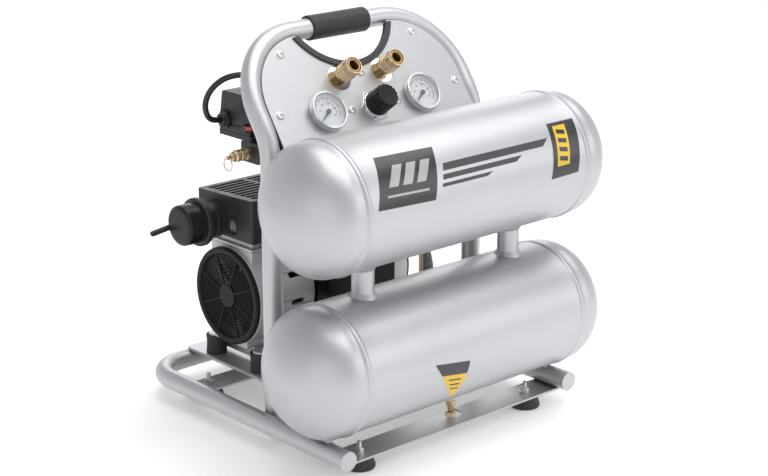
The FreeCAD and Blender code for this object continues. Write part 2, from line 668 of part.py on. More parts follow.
def coupler_body(x):
    """Female quick coupler: hexagon, barrel and open bore."""
    front = PANEL_FRONT + COUPLER_OUT
    pieces = [hexagon((x, COUPLER_S, -10), (0, 0, 1), 21, 16),
              rod((x, COUPLER_S, 4), Z, COUPLER_BARREL_R, front - 6)]
    body = fused(pieces)
    body = body.cut(rod((x, COUPLER_S, front - COUPLER_BORE_LEN), Z, COUPLER_BORE_R, 40))
    return on_panel(body)


def coupler_sleeve(x):
    """Sliding sleeve: pulled back to let the plug go."""
    front = PANEL_FRONT + COUPLER_OUT
    start = PANEL_FRONT + 5 + SLEEVE_TRAVEL
    sleeve = rod((x, COUPLER_S, start), Z, COUPLER_R, front - start)
    for i in range(4):
        groove = Part.makeTorus(COUPLER_R + 0.9, 1.7, V(x, COUPLER_S, start + 8 + 3.2 * i), Z)
        sleeve = sleeve.cut(groove)
    sleeve = sleeve.cut(cone((x, COUPLER_S, front - 1.5), Z, COUPLER_BARREL_R + 0.2, COUPLER_R - 0.4, 3))
    return on_panel(sleeve.cut(rod((x, COUPLER_S, 0), Z, COUPLER_BARREL_R + RUNNING_FIT, 80)))


def manifold():
    """Block under the pressure switch, with pipes to the tank and to the regulator."""
    line = panel_point(0, KNOB_S, MANIFOLD_N)
    core = block((SWITCH_X[0], SWITCH_X[1] - 7), (SWITCH_Y[0] - 17, SWITCH_Y[0] + 20),
                 (BLOCK_Z, SWITCH_Z[0]))
    core = rounded(core, 4, X)
    tank_pipe = rod((OUTLET_X, TANK_R + 4, OUTLET_Z), Y, OUTLET_R, SWITCH_Y[0] - 17 - TANK_R)
    end = panel_point(0, KNOB_S, REGULATOR_BACK)
    path = route([V(SWITCH_X[1] - 12, line.y, line.z), line, end], [14])
    bored = rod((OUTLET_X, 60, OUTLET_Z), Y, PORT_R, 130)
    return fused([core, tank_pipe, swept(path, MANIFOLD_R)]).cut(bored)


# ---- safety valve -------------------------------------------------------------------------


def safety_valve_body():
    x = SWITCH_X[0]
    pieces = [hexagon((x - 9, VALVE_Y, VALVE_Z), (1, 0, 0), 14, 9),
              rod((x - 24, VALVE_Y, VALVE_Z), X, 7.5, 16),
              rod((x - VALVE_LEN, VALVE_Y, VALVE_Z), X, 5.8, 8)]
    return fused(pieces).cut(rod((x - VALVE_LEN - 1, VALVE_Y, VALVE_Z), X, STEM_R + 0.1, VALVE_LEN - 6))


def safety_valve_stem():
    x = SWITCH_X[0] - VALVE_LEN
    stem = rod((x - 8, VALVE_Y, VALVE_Z), X, STEM_R, 8 + VALVE_LEN - 12)
    return stem.cut(rod((x - 5, VALVE_Y - 5, VALVE_Z), Y, PULL_RING_WIRE + 0.3, 10))


def safety_valve_ring():
    """Pull ring, hung from the stem: two ends turned into its cross hole."""
    x = SWITCH_X[0] - VALVE_LEN - 5
    centre = V(x, VALVE_Y, VALVE_Z - PULL_RING_R)
    gap = math.asin((STEM_R + PULL_RING_WIRE + 0.5) / PULL_RING_R)
    arc = Part.makeCircle(PULL_RING_R, centre, X, math.degrees(gap) + 90, 450 - math.degrees(gap))
    loop = swept(Part.Wire([arc]), PULL_RING_WIRE)
    return fused([loop, rod((x, VALVE_Y - 4.2, VALVE_Z), Y, PULL_RING_WIRE, 8.4)])


# ---- pressure switch ----------------------------------------------------------------------
def pressure_switch_base():
    x, y, top = INLET_X, SWITCH_Y[0] + 30, SWITCH_Z[0] + SWITCH_BASE_T
    base = block(SWITCH_X, SWITCH_Y, (SWITCH_Z[0], top))
    works = block((x - 18, x + 18), (y - 17, y + 16), (top, SWITCH_Z[1] - 14))
    post = rod((x, y, top), Z, 9, 30)
    return fused([rounded(base, 3, Z), works, post])


def switch_prism(inset, low, high):
    """Tapered box: its back leans in towards the top."""
    lean = SWITCH_TAPER
    y0, y1 = SWITCH_Y[0] + inset, SWITCH_Y[1] - inset
    x0, x1 = SWITCH_X[0] + inset, SWITCH_X[1] - inset
    outline = [V(x0, y0, low), V(x0, y1, low), V(x0, y1 - lean, high), V(x0, y0 + 2, high), V(x0, y0, low)]
    return Part.Face(Part.makePolygon(outline)).extrude(V(x1 - x0, 0, 0))


def pressure_switch_cover():
    low = SWITCH_Z[0] + SWITCH_BASE_T
    cover = switch_prism(0, low, SWITCH_Z[1])
    cover = rounded(cover, 4, X)
    cover = cover.cut(switch_prism(SWITCH_WALL, low - 1, SWITCH_Z[1] - SWITCH_WALL))
    cover = cover.cut(rod((SWITCH_X[0] - 1, LEVER_Y, LEVER_Z), X, 3.2, 6))
    cover = cover.cut(rod((SWITCH_X[0] - 1, GLAND_Y, GLAND_Z), X, LEAD_R + 2, 6))
    return cover.cut(rod((INLET_X, SWITCH_Y[1] - 12, INLET_Z), Y, LEAD_R + 2, 20))


def switch_lever():
    """Auto/off lever on the side of the switch."""
    x = SWITCH_X[0]
    boss = rod((x - 5, LEVER_Y, LEVER_Z), X, 5.5, 4.6)
    spindle = rod((x - 1, LEVER_Y, LEVER_Z), X, 3.0, 9)
    arm = block((x - 5, x - 1.5), (LEVER_Y - 2.6, LEVER_Y + 2.6), (LEVER_Z, LEVER_Z + LEVER_LEN))
    arm = rounded(arm, 1.2, X)
    arm.rotate(V(x, LEVER_Y, LEVER_Z), X, LEVER_REST)
    return fused([boss, spindle, arm])


def cable_glands():
    """Glands of the motor lead at both ends, and the empty mains inlet."""
    x = SWITCH_X[0]
    hole = LEAD_R
    wide, narrow = GLAND_NOSE_R
    lean = SWITCH_TAPER * (INLET_Z - SWITCH_Z[0]) / (SWITCH_Z[1] - SWITCH_Z[0])
    back = SWITCH_Y[1] - lean
    box_x, box_y = LEAD[-1][0], LEAD[-1][1]
    lead_out = fused([hexagon((x - 4, GLAND_Y, GLAND_Z), (1, 0, 0), GLAND_ACROSS, 4),
                      cone((x - GLAND_LEN, GLAND_Y, GLAND_Z), X, narrow, wide, GLAND_LEN - 4)])
    lead_out = lead_out.cut(rod((x - 14, GLAND_Y, GLAND_Z), X, hole, 20))
    inlet = fused([hexagon((INLET_X, back, INLET_Z), (0, 1, 0), GLAND_ACROSS, 5),
                   cone((INLET_X, back + 5, INLET_Z), Y, wide, narrow, 8)])
    inlet = inlet.cut(rod((INLET_X, back - 2, INLET_Z), Y, hole + 1, 20))
    inlet = inlet.cut(switch_prism(0, SWITCH_Z[0] + SWITCH_BASE_T, SWITCH_Z[1]))
    lead_in = fused([hexagon((box_x, box_y, BOX_Z[1]), (0, 0, 1), GLAND_ACROSS, 4),
                     cone((box_x, box_y, BOX_Z[1] + 4), Z, wide, narrow, 8)])
    lead_in = lead_in.cut(rod((box_x, box_y, BOX_Z[1] - 2), Z, hole, 20))
    return group([lead_out, inlet, lead_in])


# ---- flexible lines -----------------------------------------------------------------------


def print_bends(name, points, radius):
    """Prints the arcs of a flexible line, to compare with its diameter."""
    points = [V(*p) for p in points]
    radii = [corner_radius(*points[i - 1:i + 2]) for i in range(1, len(points) - 1)]
    print(name, "diameter", 2 * radius, "arc radii", [round(r, 1) for r in radii])


def motor_lead():
    print_bends("motor_lead", LEAD, LEAD_R)
    return swept(route(LEAD), LEAD_R)


def discharge_hose():
    print_bends("discharge_hose", HOSE, HOSE_R)
    return swept(route(HOSE), HOSE_R)


def hose_ends():
    """Crimped ferrules, and the elbow into the cylinder head."""
    low = ring((CHECK_X, CHECK_Y, CHECK_TOP), Z, FERRULE_R, HOSE_BORE_R, FERRULE_LEN)
    x, z = HEAD_PORT
    high = ring(HOSE[-1], Y, FERRULE_R, HOSE_BORE_R, FERRULE_LEN)
    start = HOSE[-1][1] + FERRULE_LEN
    nut = hexagon((x, start, z), (0, 1, 0), 15, PUMP_Y - HEAD_Y - start)
    return group([low, fused([high, nut])])


def check_valve():
    nut = hexagon((CHECK_X, TANK_BACK + BUNG_LEN, CHECK_Z), (0, 1, 0), 18, 8)
    body = [nut, rod((CHECK_X, TANK_BACK + BUNG_LEN + 4, CHECK_Z), Y, 8, CHECK_Y - TANK_BACK - BUNG_LEN + 2),
            rod((CHECK_X, CHECK_Y, CHECK_Z), Z, 7.5, CHECK_TOP - CHECK_Z),
            rod((CHECK_X - 10, CHECK_Y, CHECK_Z + 6), X, 4, 10)]
    return fused(body)


def unloader_tube():
    return tube(UNLOADER, UNLOADER_BENDS, UNLOADER_R, UNLOADER_R - UNLOADER_WALL)


# ---- pump ---------------------------------------------------------------------------------
def on_pump(x, y, z):
    return V(PUMP_X + x, PUMP_Y + y, PUMP_Z + z)


def both_sides(build):
    """Builds a piece for the right-hand side and mirrors it about the pump's middle."""
    right = build()
    return right.mirror(on_pump(0, 0, 0), X), right


def crankcase():
    """Cast housing: fan ring, crank chamber, bearing walls, deck and foot."""
    outer = fused([rod(on_pump(CASE_INNER, 0, 0), X, CASE_R, FAN_FLOOR - CASE_INNER),
                   rod(on_pump(FAN_FLOOR - 6, 0, 0), X, RING_R, COVER_FACE - FAN_FLOOR + 6),
                   block((PUMP_X + DECK_X[0], PUMP_X + DECK_X[1]), (PUMP_Y - DECK_Y, PUMP_Y + DECK_Y),
                         (PUMP_Z + 20, PUMP_Z + DECK_TOP)),
                   block((PUMP_X + 62, PUMP_X + COVER_FACE), (PUMP_Y - 34, PUMP_Y + 34),
                         (PUMP_Z - RING_R, PUMP_Z - 40))])
    chamber = rod(on_pump(CASE_INNER + CASE_WALL, 0, 0), X, CASE_R - CASE_WALL,
                  FAN_FLOOR - CASE_INNER - 2 * CASE_WALL)
    fan_space = rod(on_pump(FAN_FLOOR, 0, 0), X, RING_R - RING_WALL, 60)
    bore = rod(on_pump(CYLINDER_X, 0, 20), Z, CYLINDER_BORE_R, 80)
    hub = ring(on_pump(FAN_FLOOR - CASE_WALL - 8, 0, 0), X, BEARING_R + 4, BEARING_R, 8)
    body = outer.cut(chamber).cut(fan_space).cut(bore)
    body = fused([body, hub]).cut(rod(on_pump(0, 0, 0), X, BEARING_R, FAN_FLOOR + 10))
    for sign in (-1, 1):
        for angle in (-28, 8):
            slot = rod(on_pump(0, 0, 0), Y * sign, 4, 80)
            slot = fused([slot, block((PUMP_X, PUMP_X + 14), sorted((PUMP_Y, PUMP_Y + 80 * sign)),
                                      (PUMP_Z - 4, PUMP_Z + 4)),
                          rod(on_pump(14, 0, 0), Y * sign, 4, 80)])
            slot.rotate(on_pump(0, 0, 0), X, angle)
            slot.translate(V(54, 0, 0))
            body = body.cut(slot)
    return body


def bearings():
    places = []
    for x in (CASE_INNER, FAN_FLOOR - CASE_WALL - 8):
        places += [x, -x - BEARING_LEN]
    return group([ring(on_pump(x, 0, 0), X, BEARING_R, SHAFT_R + RUNNING_FIT, BEARING_LEN) for x in places])


def stator():
    """Laminated stack with the four posts that clamp it between the crankcases."""
    stack = ring(on_pump(-STACK_HALF, 0, 0), X, STATOR_R, ROTOR_R + AIR_GAP, 2 * STACK_HALF)
    posts = []
    for i in range(4):
        angle = math.pi / 4 + i * math.pi / 2
        reach = STATOR_R - POST_R - 1
        y, z = reach * math.cos(angle), reach * math.sin(angle)
        posts.append(rod(on_pump(-CASE_INNER, y, z), X, POST_R, 2 * CASE_INNER))
    return fused([stack] + posts)


def windings():
    left = ring(on_pump(-CASE_INNER + 0.5, 0, 0), X, 48, 37, CASE_INNER - STACK_HALF - 0.5)
    right = ring(on_pump(STACK_HALF, 0, 0), X, 48, 37, CASE_INNER - STACK_HALF - 0.5)
    return group([left, right])


def crank_rotor():
    """Shaft, rotor core and the two eccentrics with their big-end bearings."""
    reach = FAN_FLOOR + 16
    pieces = [rod(on_pump(-reach, 0, 0), X, SHAFT_R, 2 * reach),
              rod(on_pump(-STACK_HALF, 0, 0), X, ROTOR_R, 2 * STACK_HALF)]
    for sign in (-1, 1):
        base = on_pump(sign * CYLINDER_X - 6, sign * THROW, 0)
        pieces.append(rod(base, X, ECCENTRIC_R, 12))
    return fused(pieces)


def cylinders():
    def build():
        low, high = PUMP_Z + DECK_TOP, PUMP_Z + CYLINDER_TOP
        x = (PUMP_X + DECK_X[0], PUMP_X + DECK_X[1])
        y = (PUMP_Y - DECK_Y, PUMP_Y + DECK_Y)
        inner_x, inner_y = (x[0] + 5, x[1] - 5), (y[0] + 5, y[1] - 5)
        barrel = fused([block(x, y, (low, low + 4)), block(inner_x, inner_y, (low + 4, high - 5)),
                        block(x, y, (high - 5, high))])
        return barrel.cut(rod(on_pump(CYLINDER_X, 0, 0), Z, CYLINDER_BORE_R, 120))
    return group(both_sides(build))


def cylinder_heads():
    def build():
        low, high = PUMP_Z + CYLINDER_TOP, PUMP_Z + HEAD_TOP
        x = (PUMP_X + HEAD_X[0], PUMP_X + HEAD_X[1])
        y = (PUMP_Y - HEAD_Y, PUMP_Y + HEAD_Y)
        head = block(x, y, (low, low + 24))
        fins = [block(x, (y[0] + 8 * i, y[0] + 8 * i + 3), (low + 24, high)) for i in range(HEAD_FINS)]
        return fused([head] + fins)
    return group(both_sides(build))


def piston(side):
    """Wobble piston: disc and rod in one piece, open at the crank end."""
    x = side * CYLINDER_X
    under = CYLINDER_TOP - THROW - PISTON_T - 1.5
    disc = rod(on_pump(x, 0, under), Z, CYLINDER_BORE_R - PISTON_CLEARANCE, PISTON_T)
    foot = THROW + ECCENTRIC_R + THROW + 2
    shank = rod(on_pump(x, 0, foot), Z, 7, under - foot)
    return fused([disc, shank])


def fans():
    def build():
        hub = ring(on_pump(FAN_FLOOR + 3, 0, 0), X, 15, SHAFT_R, 15)
        blades = []
        for i in range(FAN_BLADES):
            blade = block((PUMP_X + FAN_FLOOR + 5, PUMP_X + FAN_FLOOR + 7), (PUMP_Y - 9, PUMP_Y + 9),
                          (PUMP_Z + 12, PUMP_Z + FAN_R))
            blade.rotate(on_pump(FAN_FLOOR + 6, 0, 0), Z, 28)
            blade.translate(V(5, 0, 0))
            blade.rotate(on_pump(0, 0, 0), X, 360 * i / FAN_BLADES)
            blades.append(blade)
        return fused([hub] + blades)
    return group(both_sides(build))


def fan_cover():
    """Round guard: rim, rings and spokes round a solid middle."""
    deep = PUMP_HALF - COVER_FACE
    start = on_pump(COVER_FACE, 0, 0)
    pieces = [ring(start, X, COVER_R, COVER_R - 5, deep), rod(start + X * (deep - 3), X, 15, 3)]
    for radius in range(20, 57, 6):
        pieces.append(ring(start + X * (deep - 3), X, radius + 2.4, radius, 2.6))
    for i in range(COVER_SPOKES):
        spoke = block((start.x + deep - 3, start.x + deep), (PUMP_Y - 1.4, PUMP_Y + 1.4),
                      (PUMP_Z + 12, PUMP_Z + COVER_R - 3))
        spoke.rotate(start, X, 22.5 + 360 * i / COVER_SPOKES)
        pieces.append(spoke)
    return fused(pieces)


def pump_feet():
    """A cross plate under each crankcase, on its rubber mounts, turned down inboard of them."""
    top = PUMP_Z - RING_R
    feet = []
    for sign in (-1, 1):
        x = PUMP_X + sign * MOUNT_X
        inboard = sorted((x, x - sign * 24))
        plate = block(inboard, (PUMP_Y - MOUNT_Y, PUMP_Y + MOUNT_Y), (top - PUMP_FOOT_T, top))
        tabs = []
        for y in (PUMP_Y - MOUNT_Y, PUMP_Y + MOUNT_Y):
            tabs.append(rod((x, y, top - PUMP_FOOT_T), Z, FOOT_TAB_R, PUMP_FOOT_T))
        web = sorted((x - sign * (MOUNT_R + 1), x - sign * (MOUNT_R + 4)))
        apron = block(web, (PUMP_Y - MOUNT_Y, PUMP_Y + MOUNT_Y), (PLATE_TOP + 4, top))
        feet.append(fused([plate, apron] + tabs))
    return group(feet)


def rubber_mounts():
    mounts = []
    for sign_x in (-1, 1):
        for sign_y in (-1, 1):
            place = on_pump(sign_x * MOUNT_X, sign_y * MOUNT_Y, 0)
            mounts.append(rod((place.x, place.y, PLATE_TOP), Z, MOUNT_R, MOUNT_H))
    return group(mounts)


def motor_plate():
    x = (PUMP_X - PLATE_HALF, PUMP_X + PLATE_HALF)
    plate = block(x, (PLATE_FRONT_Y, PLATE_REAR_Y), (PLATE_TOP - PLATE_T, PLATE_TOP))
    return rounded(plate, 5, Z)


def shroud_solid(inset, low):
    """The shroud's outer or inner block; its top falls towards the back."""
    x = (PUMP_X - PUMP_HALF + inset, PUMP_X + PUMP_HALF - inset)
    y = (SHROUD_Y[0] + inset, SHROUD_Y[1] - inset)
    high = PUMP_Z + SHROUD_TOP - inset
    outline = [V(x[0], y[0], low), V(x[0], y[1], low), V(x[0], y[1], high - SHROUD_FALL),
               V(x[0], y[0], high), V(x[0], y[0], low)]
    return Part.Face(Part.makePolygon(outline)).extrude(V(x[1] - x[0], 0, 0))


def shroud():
    """Plastic air duct over both heads, open below, slotted on top."""
    low, high = PUMP_Z + CYLINDER_TOP, PUMP_Z + SHROUD_TOP
    left = PUMP_X - PUMP_HALF
    outer = rounded(shroud_solid(0, low), 6, Z)
    body = outer.cut(shroud_solid(SHROUD_WALL, low - 1))
    pitch_y = (SHROUD_Y[1] - SHROUD_Y[0] - 16) / SLOT_ROWS
    pitch_x = (2 * PUMP_HALF - 16) / SLOT_COLUMNS
    cuts = []
    for column in range(SLOT_COLUMNS):
        x0 = left + 8 + pitch_x * column + 3
        for row in range(SLOT_ROWS):
            y0 = SHROUD_Y[0] + 8 + pitch_y * (row + 0.2)
            top = high - SHROUD_FALL * (y0 - SHROUD_Y[0]) / (SHROUD_Y[1] - SHROUD_Y[0])
            cuts.append(block((x0, x0 + pitch_x - 6), (y0, y0 + pitch_y * 0.6), (top - 6, top + 2)))
        for level in (6, 12):
            cuts.append(block((x0, x0 + pitch_x - 6), (SHROUD_Y[0] - 1, SHROUD_Y[0] + 5),
                              (high - level - 3, high - level)))
    cuts.append(block((left - 1, left + 5), (WINDOW_Y - WINDOW_R, WINDOW_Y + WINDOW_R), (low + 6, low + 18)))
    cuts.append(rod((left - 1, WINDOW_Y, low + 18), X, WINDOW_R, 6))
    port_x = HEAD_PORT[0]
    cuts.append(block((port_x - 13, port_x + 13), (SHROUD_Y[0] - 1, SHROUD_Y[0] + 5),
                      (low - 1, HEAD_PORT[1] + 13)))
    return body.cut(group(cuts))


def air_filter():
    """Neck on the shroud's end and the flange that the cap screws on to."""
    face = PUMP_X - PUMP_HALF
    neck = rod((face - FILTER_FLANGE[0], FILTER_Y, FILTER_Z), X, FILTER_NECK_R, FILTER_FLANGE[0])
    width = FILTER_FLANGE[1] - FILTER_FLANGE[0]
    flange = rod((face - FILTER_FLANGE[1], FILTER_Y, FILTER_Z), X, FILTER_FLANGE_R, width)
    return fused([neck, flange])


def filter_cap():
    """Silencer cap with the thin inlet stub beside it."""
    face = PUMP_X - PUMP_HALF
    cap = rod((face - FILTER_CAP[1], FILTER_Y, FILTER_Z), X, FILTER_CAP_R, FILTER_CAP[1] - FILTER_CAP[0])
    root = V(face - FILTER_CAP[0] - 9, FILTER_Y + FILTER_CAP_R - 1, FILTER_Z - 6)
    stub = rod(root, STUB_DIRECTION, STUB_R, STUB_LEN)
    return fused([cap, stub])


STUB_DIRECTION = V(-0.96, 0.18, -0.21)


# ---- capacitor box ------------------------------------------------------------------------
def capacitor_box():
    """Hollow box with its stand-off to the stator, and the capacitor in it."""
    outer = rounded(block(BOX_X, BOX_Y, BOX_Z), 4, Y)
    inner = block((BOX_X[0] + BOX_WALL, BOX_X[1] - BOX_WALL), (BOX_Y[0] + BOX_WALL, BOX_Y[1] - BOX_WALL),
                  (BOX_Z[0] + BOX_WALL, BOX_Z[1] - BOX_WALL))
    box = outer.cut(inner)
    stand = block((BOX_X[0] + 2, BOX_X[0] + 30), (BOX_Y[1] - 1, PUMP_Y - 20), (PUMP_Z - 12, PUMP_Z + 12))
    stand = stand.cut(rod(on_pump(-STACK_HALF, 0, 0), X, STATOR_R, 2 * STACK_HALF))
    box = fused([box, max(stand.Solids, key=lambda solid: solid.Volume)])
    box = box.cut(rod((LEAD[-1][0], LEAD[-1][1], BOX_Z[1] - 5), Z, LEAD_R, 10))
    box = box.cut(rod((BOX_X[1] - 5, BOX_MIDDLE_Y, RESET_Z), X, RESET_R + 0.4, 10))
    capacitor = rod((BOX_X[0] + 6, BOX_MIDDLE_Y, BOX_Z[0] + 22), X, CAPACITOR_R, BOX_WIDTH - 18)
    return group([box, capacitor])


def reset_button():
    start = (BOX_X[1] - 6, BOX_MIDDLE_Y, RESET_Z)
    return fused([rod(start, X, RESET_R, 11), rod(start, X, RESET_R + 1.6, 2)])


# ---- drain --------------------------------------------------------------------------------


def drain_valve():
    top = DRAIN_BUNG_Z
    body = [hexagon((DRAIN_X, DRAIN_Y, top - 6), (0, 0, 1), 12, 6),
            rod((DRAIN_X, DRAIN_Y, top - 14), Z, 4.6, 10),
            rod((DRAIN_X, DRAIN_Y, DRAIN_TIP_Z + 1), Z, DRAIN_STEM_R, top - DRAIN_TIP_Z - 8)]
    return fused(body)


def drain_knob():
    """Knurled thumb ring: unscrewed to let the water out."""
    low, high = DRAIN_TIP_Z, DRAIN_BUNG_Z - 15
    knob = rod((DRAIN_X, DRAIN_Y, low), Z, DRAIN_KNOB_R, high - low)
    notches = []
    for i in range(16):
        angle = 2 * math.pi * i / 16
        place = V(math.cos(angle), math.sin(angle), 0) * (DRAIN_KNOB_R + 0.5) + V(DRAIN_X, DRAIN_Y, low - 1)
        notches.append(rod(place, Z, 0.9, high - low + 2))
    knob = knob.cut(fused(notches))
    return knob.cut(rod((DRAIN_X, DRAIN_Y, low - 1), Z, DRAIN_STEM_R + RUNNING_FIT, 40))


# ---- all pieces ---------------------------------------------------------------------------
def build_nodes():
    crankcase_left, crankcase_right = both_sides(crankcase)
    fan_cover_left, fan_cover_right = both_sides(fan_cover)
    return {
        "upper_tank": upper_tank(),
        "lower_tank": lower_tank(),
        "tank_link_pipes": tank_link_pipes(),
        "tank_brackets": tank_brackets(),
        "base_rails": base_rails(),
        "hoop_frame": hoop_frame(),
        "base_crossmembers": base_crossmembers(),
        "rubber_feet": rubber_feet(),
        "frame_fasteners": frame_fasteners(),
        "handle_grip": handle_grip(),
        "motor_plate": motor_plate(),
        "control_panel": control_panel(),
        "panel_edge_trim": panel_edge_trim(),
        "panel_screws": panel_screws(),
        "gauge_bodies": gauge_bodies(),
        "gauge_lenses": gauge_lenses(),
        "gauge_needle_left": gauge_needle(-GAUGE_X),
        "gauge_needle_right": gauge_needle(GAUGE_X),
        "regulator_body": regulator_body(),
        "regulator_spring": regulator_spring(),
        "regulator_knob": regulator_knob(),
        "coupler_body_left": coupler_body(-COUPLER_X),
        "coupler_body_right": coupler_body(COUPLER_X),
        "coupler_sleeve_left": coupler_sleeve(-COUPLER_X),
        "coupler_sleeve_right": coupler_sleeve(COUPLER_X),
        "manifold": manifold(),
        "safety_valve_body": safety_valve_body(),
        "safety_valve_stem": safety_valve_stem(),
        "safety_valve_ring": safety_valve_ring(),
        "pressure_switch_base": pressure_switch_base(),
        "pressure_switch_cover": pressure_switch_cover(),
        "switch_lever": switch_lever(),
        "cable_glands": cable_glands(),
        "motor_lead": motor_lead(),
        "discharge_hose": discharge_hose(),
        "hose_ends": hose_ends(),
        "check_valve": check_valve(),
        "unloader_tube": unloader_tube(),
        "drain_valve": drain_valve(),
        "drain_knob": drain_knob(),
        "crankcase_left": crankcase_left,
        "crankcase_right": crankcase_right,
        "bearings": bearings(),
        "stator": stator(),
        "windings": windings(),
        "crank_rotor": crank_rotor(),
        "cylinders": cylinders(),
        "cylinder_heads": cylinder_heads(),
        "piston_left": piston(-1),
        "piston_right": piston(1),
        "fans": fans(),
        "fan_cover_left": fan_cover_left,
        "fan_cover_right": fan_cover_right,
        "shroud": shroud(),
        "air_filter": air_filter(),
        "filter_cap": filter_cap(),
        "pump_feet": pump_feet(),
        "rubber_mounts": rubber_mounts(),
        "capacitor_box": capacitor_box(),
        "reset_button": reset_button(),
    }


CORD_NODES = ("motor_lead",)


def row_shift(nodes):
    """Moves the bottom centre of the box, without its cords, to the origin."""
    box = FreeCAD.BoundBox()
    for name, shape in nodes.items():
        if name not in CORD_NODES:
            box.add(shape.optimalBoundingBox(False, False))
    return V(-box.Center.x, -box.Center.y, -box.ZMin)


def export_all(nodes):
    os.makedirs("parts", exist_ok=True)
    shift = row_shift(nodes)
    for name, shape in nodes.items():
        placed = shape.copy()
        placed.translate(shift)
        placed.exportStep("parts/" + name + ".step")
    print("shift", shift, "nodes", len(nodes))


NODES = build_nodes()
export_all(NODES)
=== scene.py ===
"""Portable air compressor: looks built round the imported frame."""
import math

import bpy
from mathutils import Matrix, Vector


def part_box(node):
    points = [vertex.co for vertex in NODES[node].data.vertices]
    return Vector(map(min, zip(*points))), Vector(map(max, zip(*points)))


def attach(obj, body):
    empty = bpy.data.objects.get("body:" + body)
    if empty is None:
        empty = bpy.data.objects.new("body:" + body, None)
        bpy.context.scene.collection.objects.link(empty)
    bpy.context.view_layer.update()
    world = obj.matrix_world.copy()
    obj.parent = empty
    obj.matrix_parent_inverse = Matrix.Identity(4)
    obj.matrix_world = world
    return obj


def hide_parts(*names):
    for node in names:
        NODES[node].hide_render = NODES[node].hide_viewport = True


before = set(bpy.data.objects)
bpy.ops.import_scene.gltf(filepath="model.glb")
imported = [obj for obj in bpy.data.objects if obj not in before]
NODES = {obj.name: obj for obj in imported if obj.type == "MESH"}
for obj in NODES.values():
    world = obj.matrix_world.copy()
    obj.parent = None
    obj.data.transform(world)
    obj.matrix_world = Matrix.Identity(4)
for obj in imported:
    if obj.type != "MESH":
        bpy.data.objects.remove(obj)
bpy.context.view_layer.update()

MM = 0.001
X, Y, Z = Vector((1, 0, 0)), Vector((0, 1, 0)), Vector((0, 0, 1))

# ---- places that come from the CAD nodes (all in mm, y measured from the tanks' axes) -------
low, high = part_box("upper_tank")
AXIS_Y = (low.y + high.y) / 2          # row-frame y of the tanks' axes, in metres
LOWER_Z = 130.0
UPPER_Z = 331.8
TANK_R = 82.0
HALF = 255.0
SEAM_X = 182.6

TILT = math.radians(35)
LEAN = Vector((0, math.sin(TILT), math.cos(TILT)))
OUT = Vector((0, -math.cos(TILT), math.sin(TILT)))
BEND = (0.0, 114.6, 384.5)             # where the hoop starts to lean back
PANEL_FRONT = 9.4

PUMP_X, PUMP_Y, PUMP_Z = 6.0, 266.0, 142.3


def at(x, y, z):
    """Row-frame point of a place in mm, y from the tanks' axes, z from the floor."""
    return Vector((x * MM, y * MM + AXIS_Y, z * MM))


def frame_at(origin, z_axis, x_hint=None):
    """Matrix of a local frame in mm, its Z along z_axis."""
    z_axis = Vector(z_axis).normalized()
    hint = Vector(x_hint) if x_hint is not None else (X if abs(z_axis.x) < 0.9 else Y)
    x_axis = (hint - hint.dot(z_axis) * z_axis).normalized()
    y_axis = z_axis.cross(x_axis)
    turn = Matrix((x_axis, y_axis, z_axis)).transposed().to_4x4()
    return Matrix.Translation(origin) @ turn @ Matrix.Scale(MM, 4)


def panel_at(x, s, n):
    """Local frame on the panel: x right, y up the lean, z out to the operator."""
    place = at(*BEND) + (X * x + LEAN * s + OUT * n) * MM
    return frame_at(place, OUT, X)


# ---- materials -----------------------------------------------------------------------------
def link(tree, source, target):
    tree.links.new(source, target)


def noise(tree, coords, scale, detail=3.0):
    node = tree.nodes.new("ShaderNodeTexNoise")
    node.inputs["Scale"].default_value = scale
    node.inputs["Detail"].default_value = detail
    link(tree, coords, node.inputs["Vector"])
    return node.outputs["Fac"]


def spread(tree, value, low_value, high_value):
    node = tree.nodes.new("ShaderNodeMapRange")
    node.inputs["From Min"].default_value = 0.3
    node.inputs["From Max"].default_value = 0.7
    node.inputs["To Min"].default_value = low_value
    node.inputs["To Max"].default_value = high_value
    link(tree, value, node.inputs["Value"])
    return node.outputs["Result"]


def blend_colours(tree, factor, first, second):
    node = tree.nodes.new("ShaderNodeMix")
    node.data_type = "RGBA"
    for socket, value in ((node.inputs[6], first), (node.inputs[7], second)):
        if isinstance(value, (tuple, list)):
            socket.default_value = (*value, 1)
        else:
            link(tree, value, socket)
    link(tree, factor, node.inputs["Factor"])
    return node.outputs[2]


def stretched(tree, coords, scale):
    node = tree.nodes.new("ShaderNodeMapping")
    node.inputs["Scale"].default_value = scale
    link(tree, coords, node.inputs["Vector"])
    return node.outputs["Vector"]


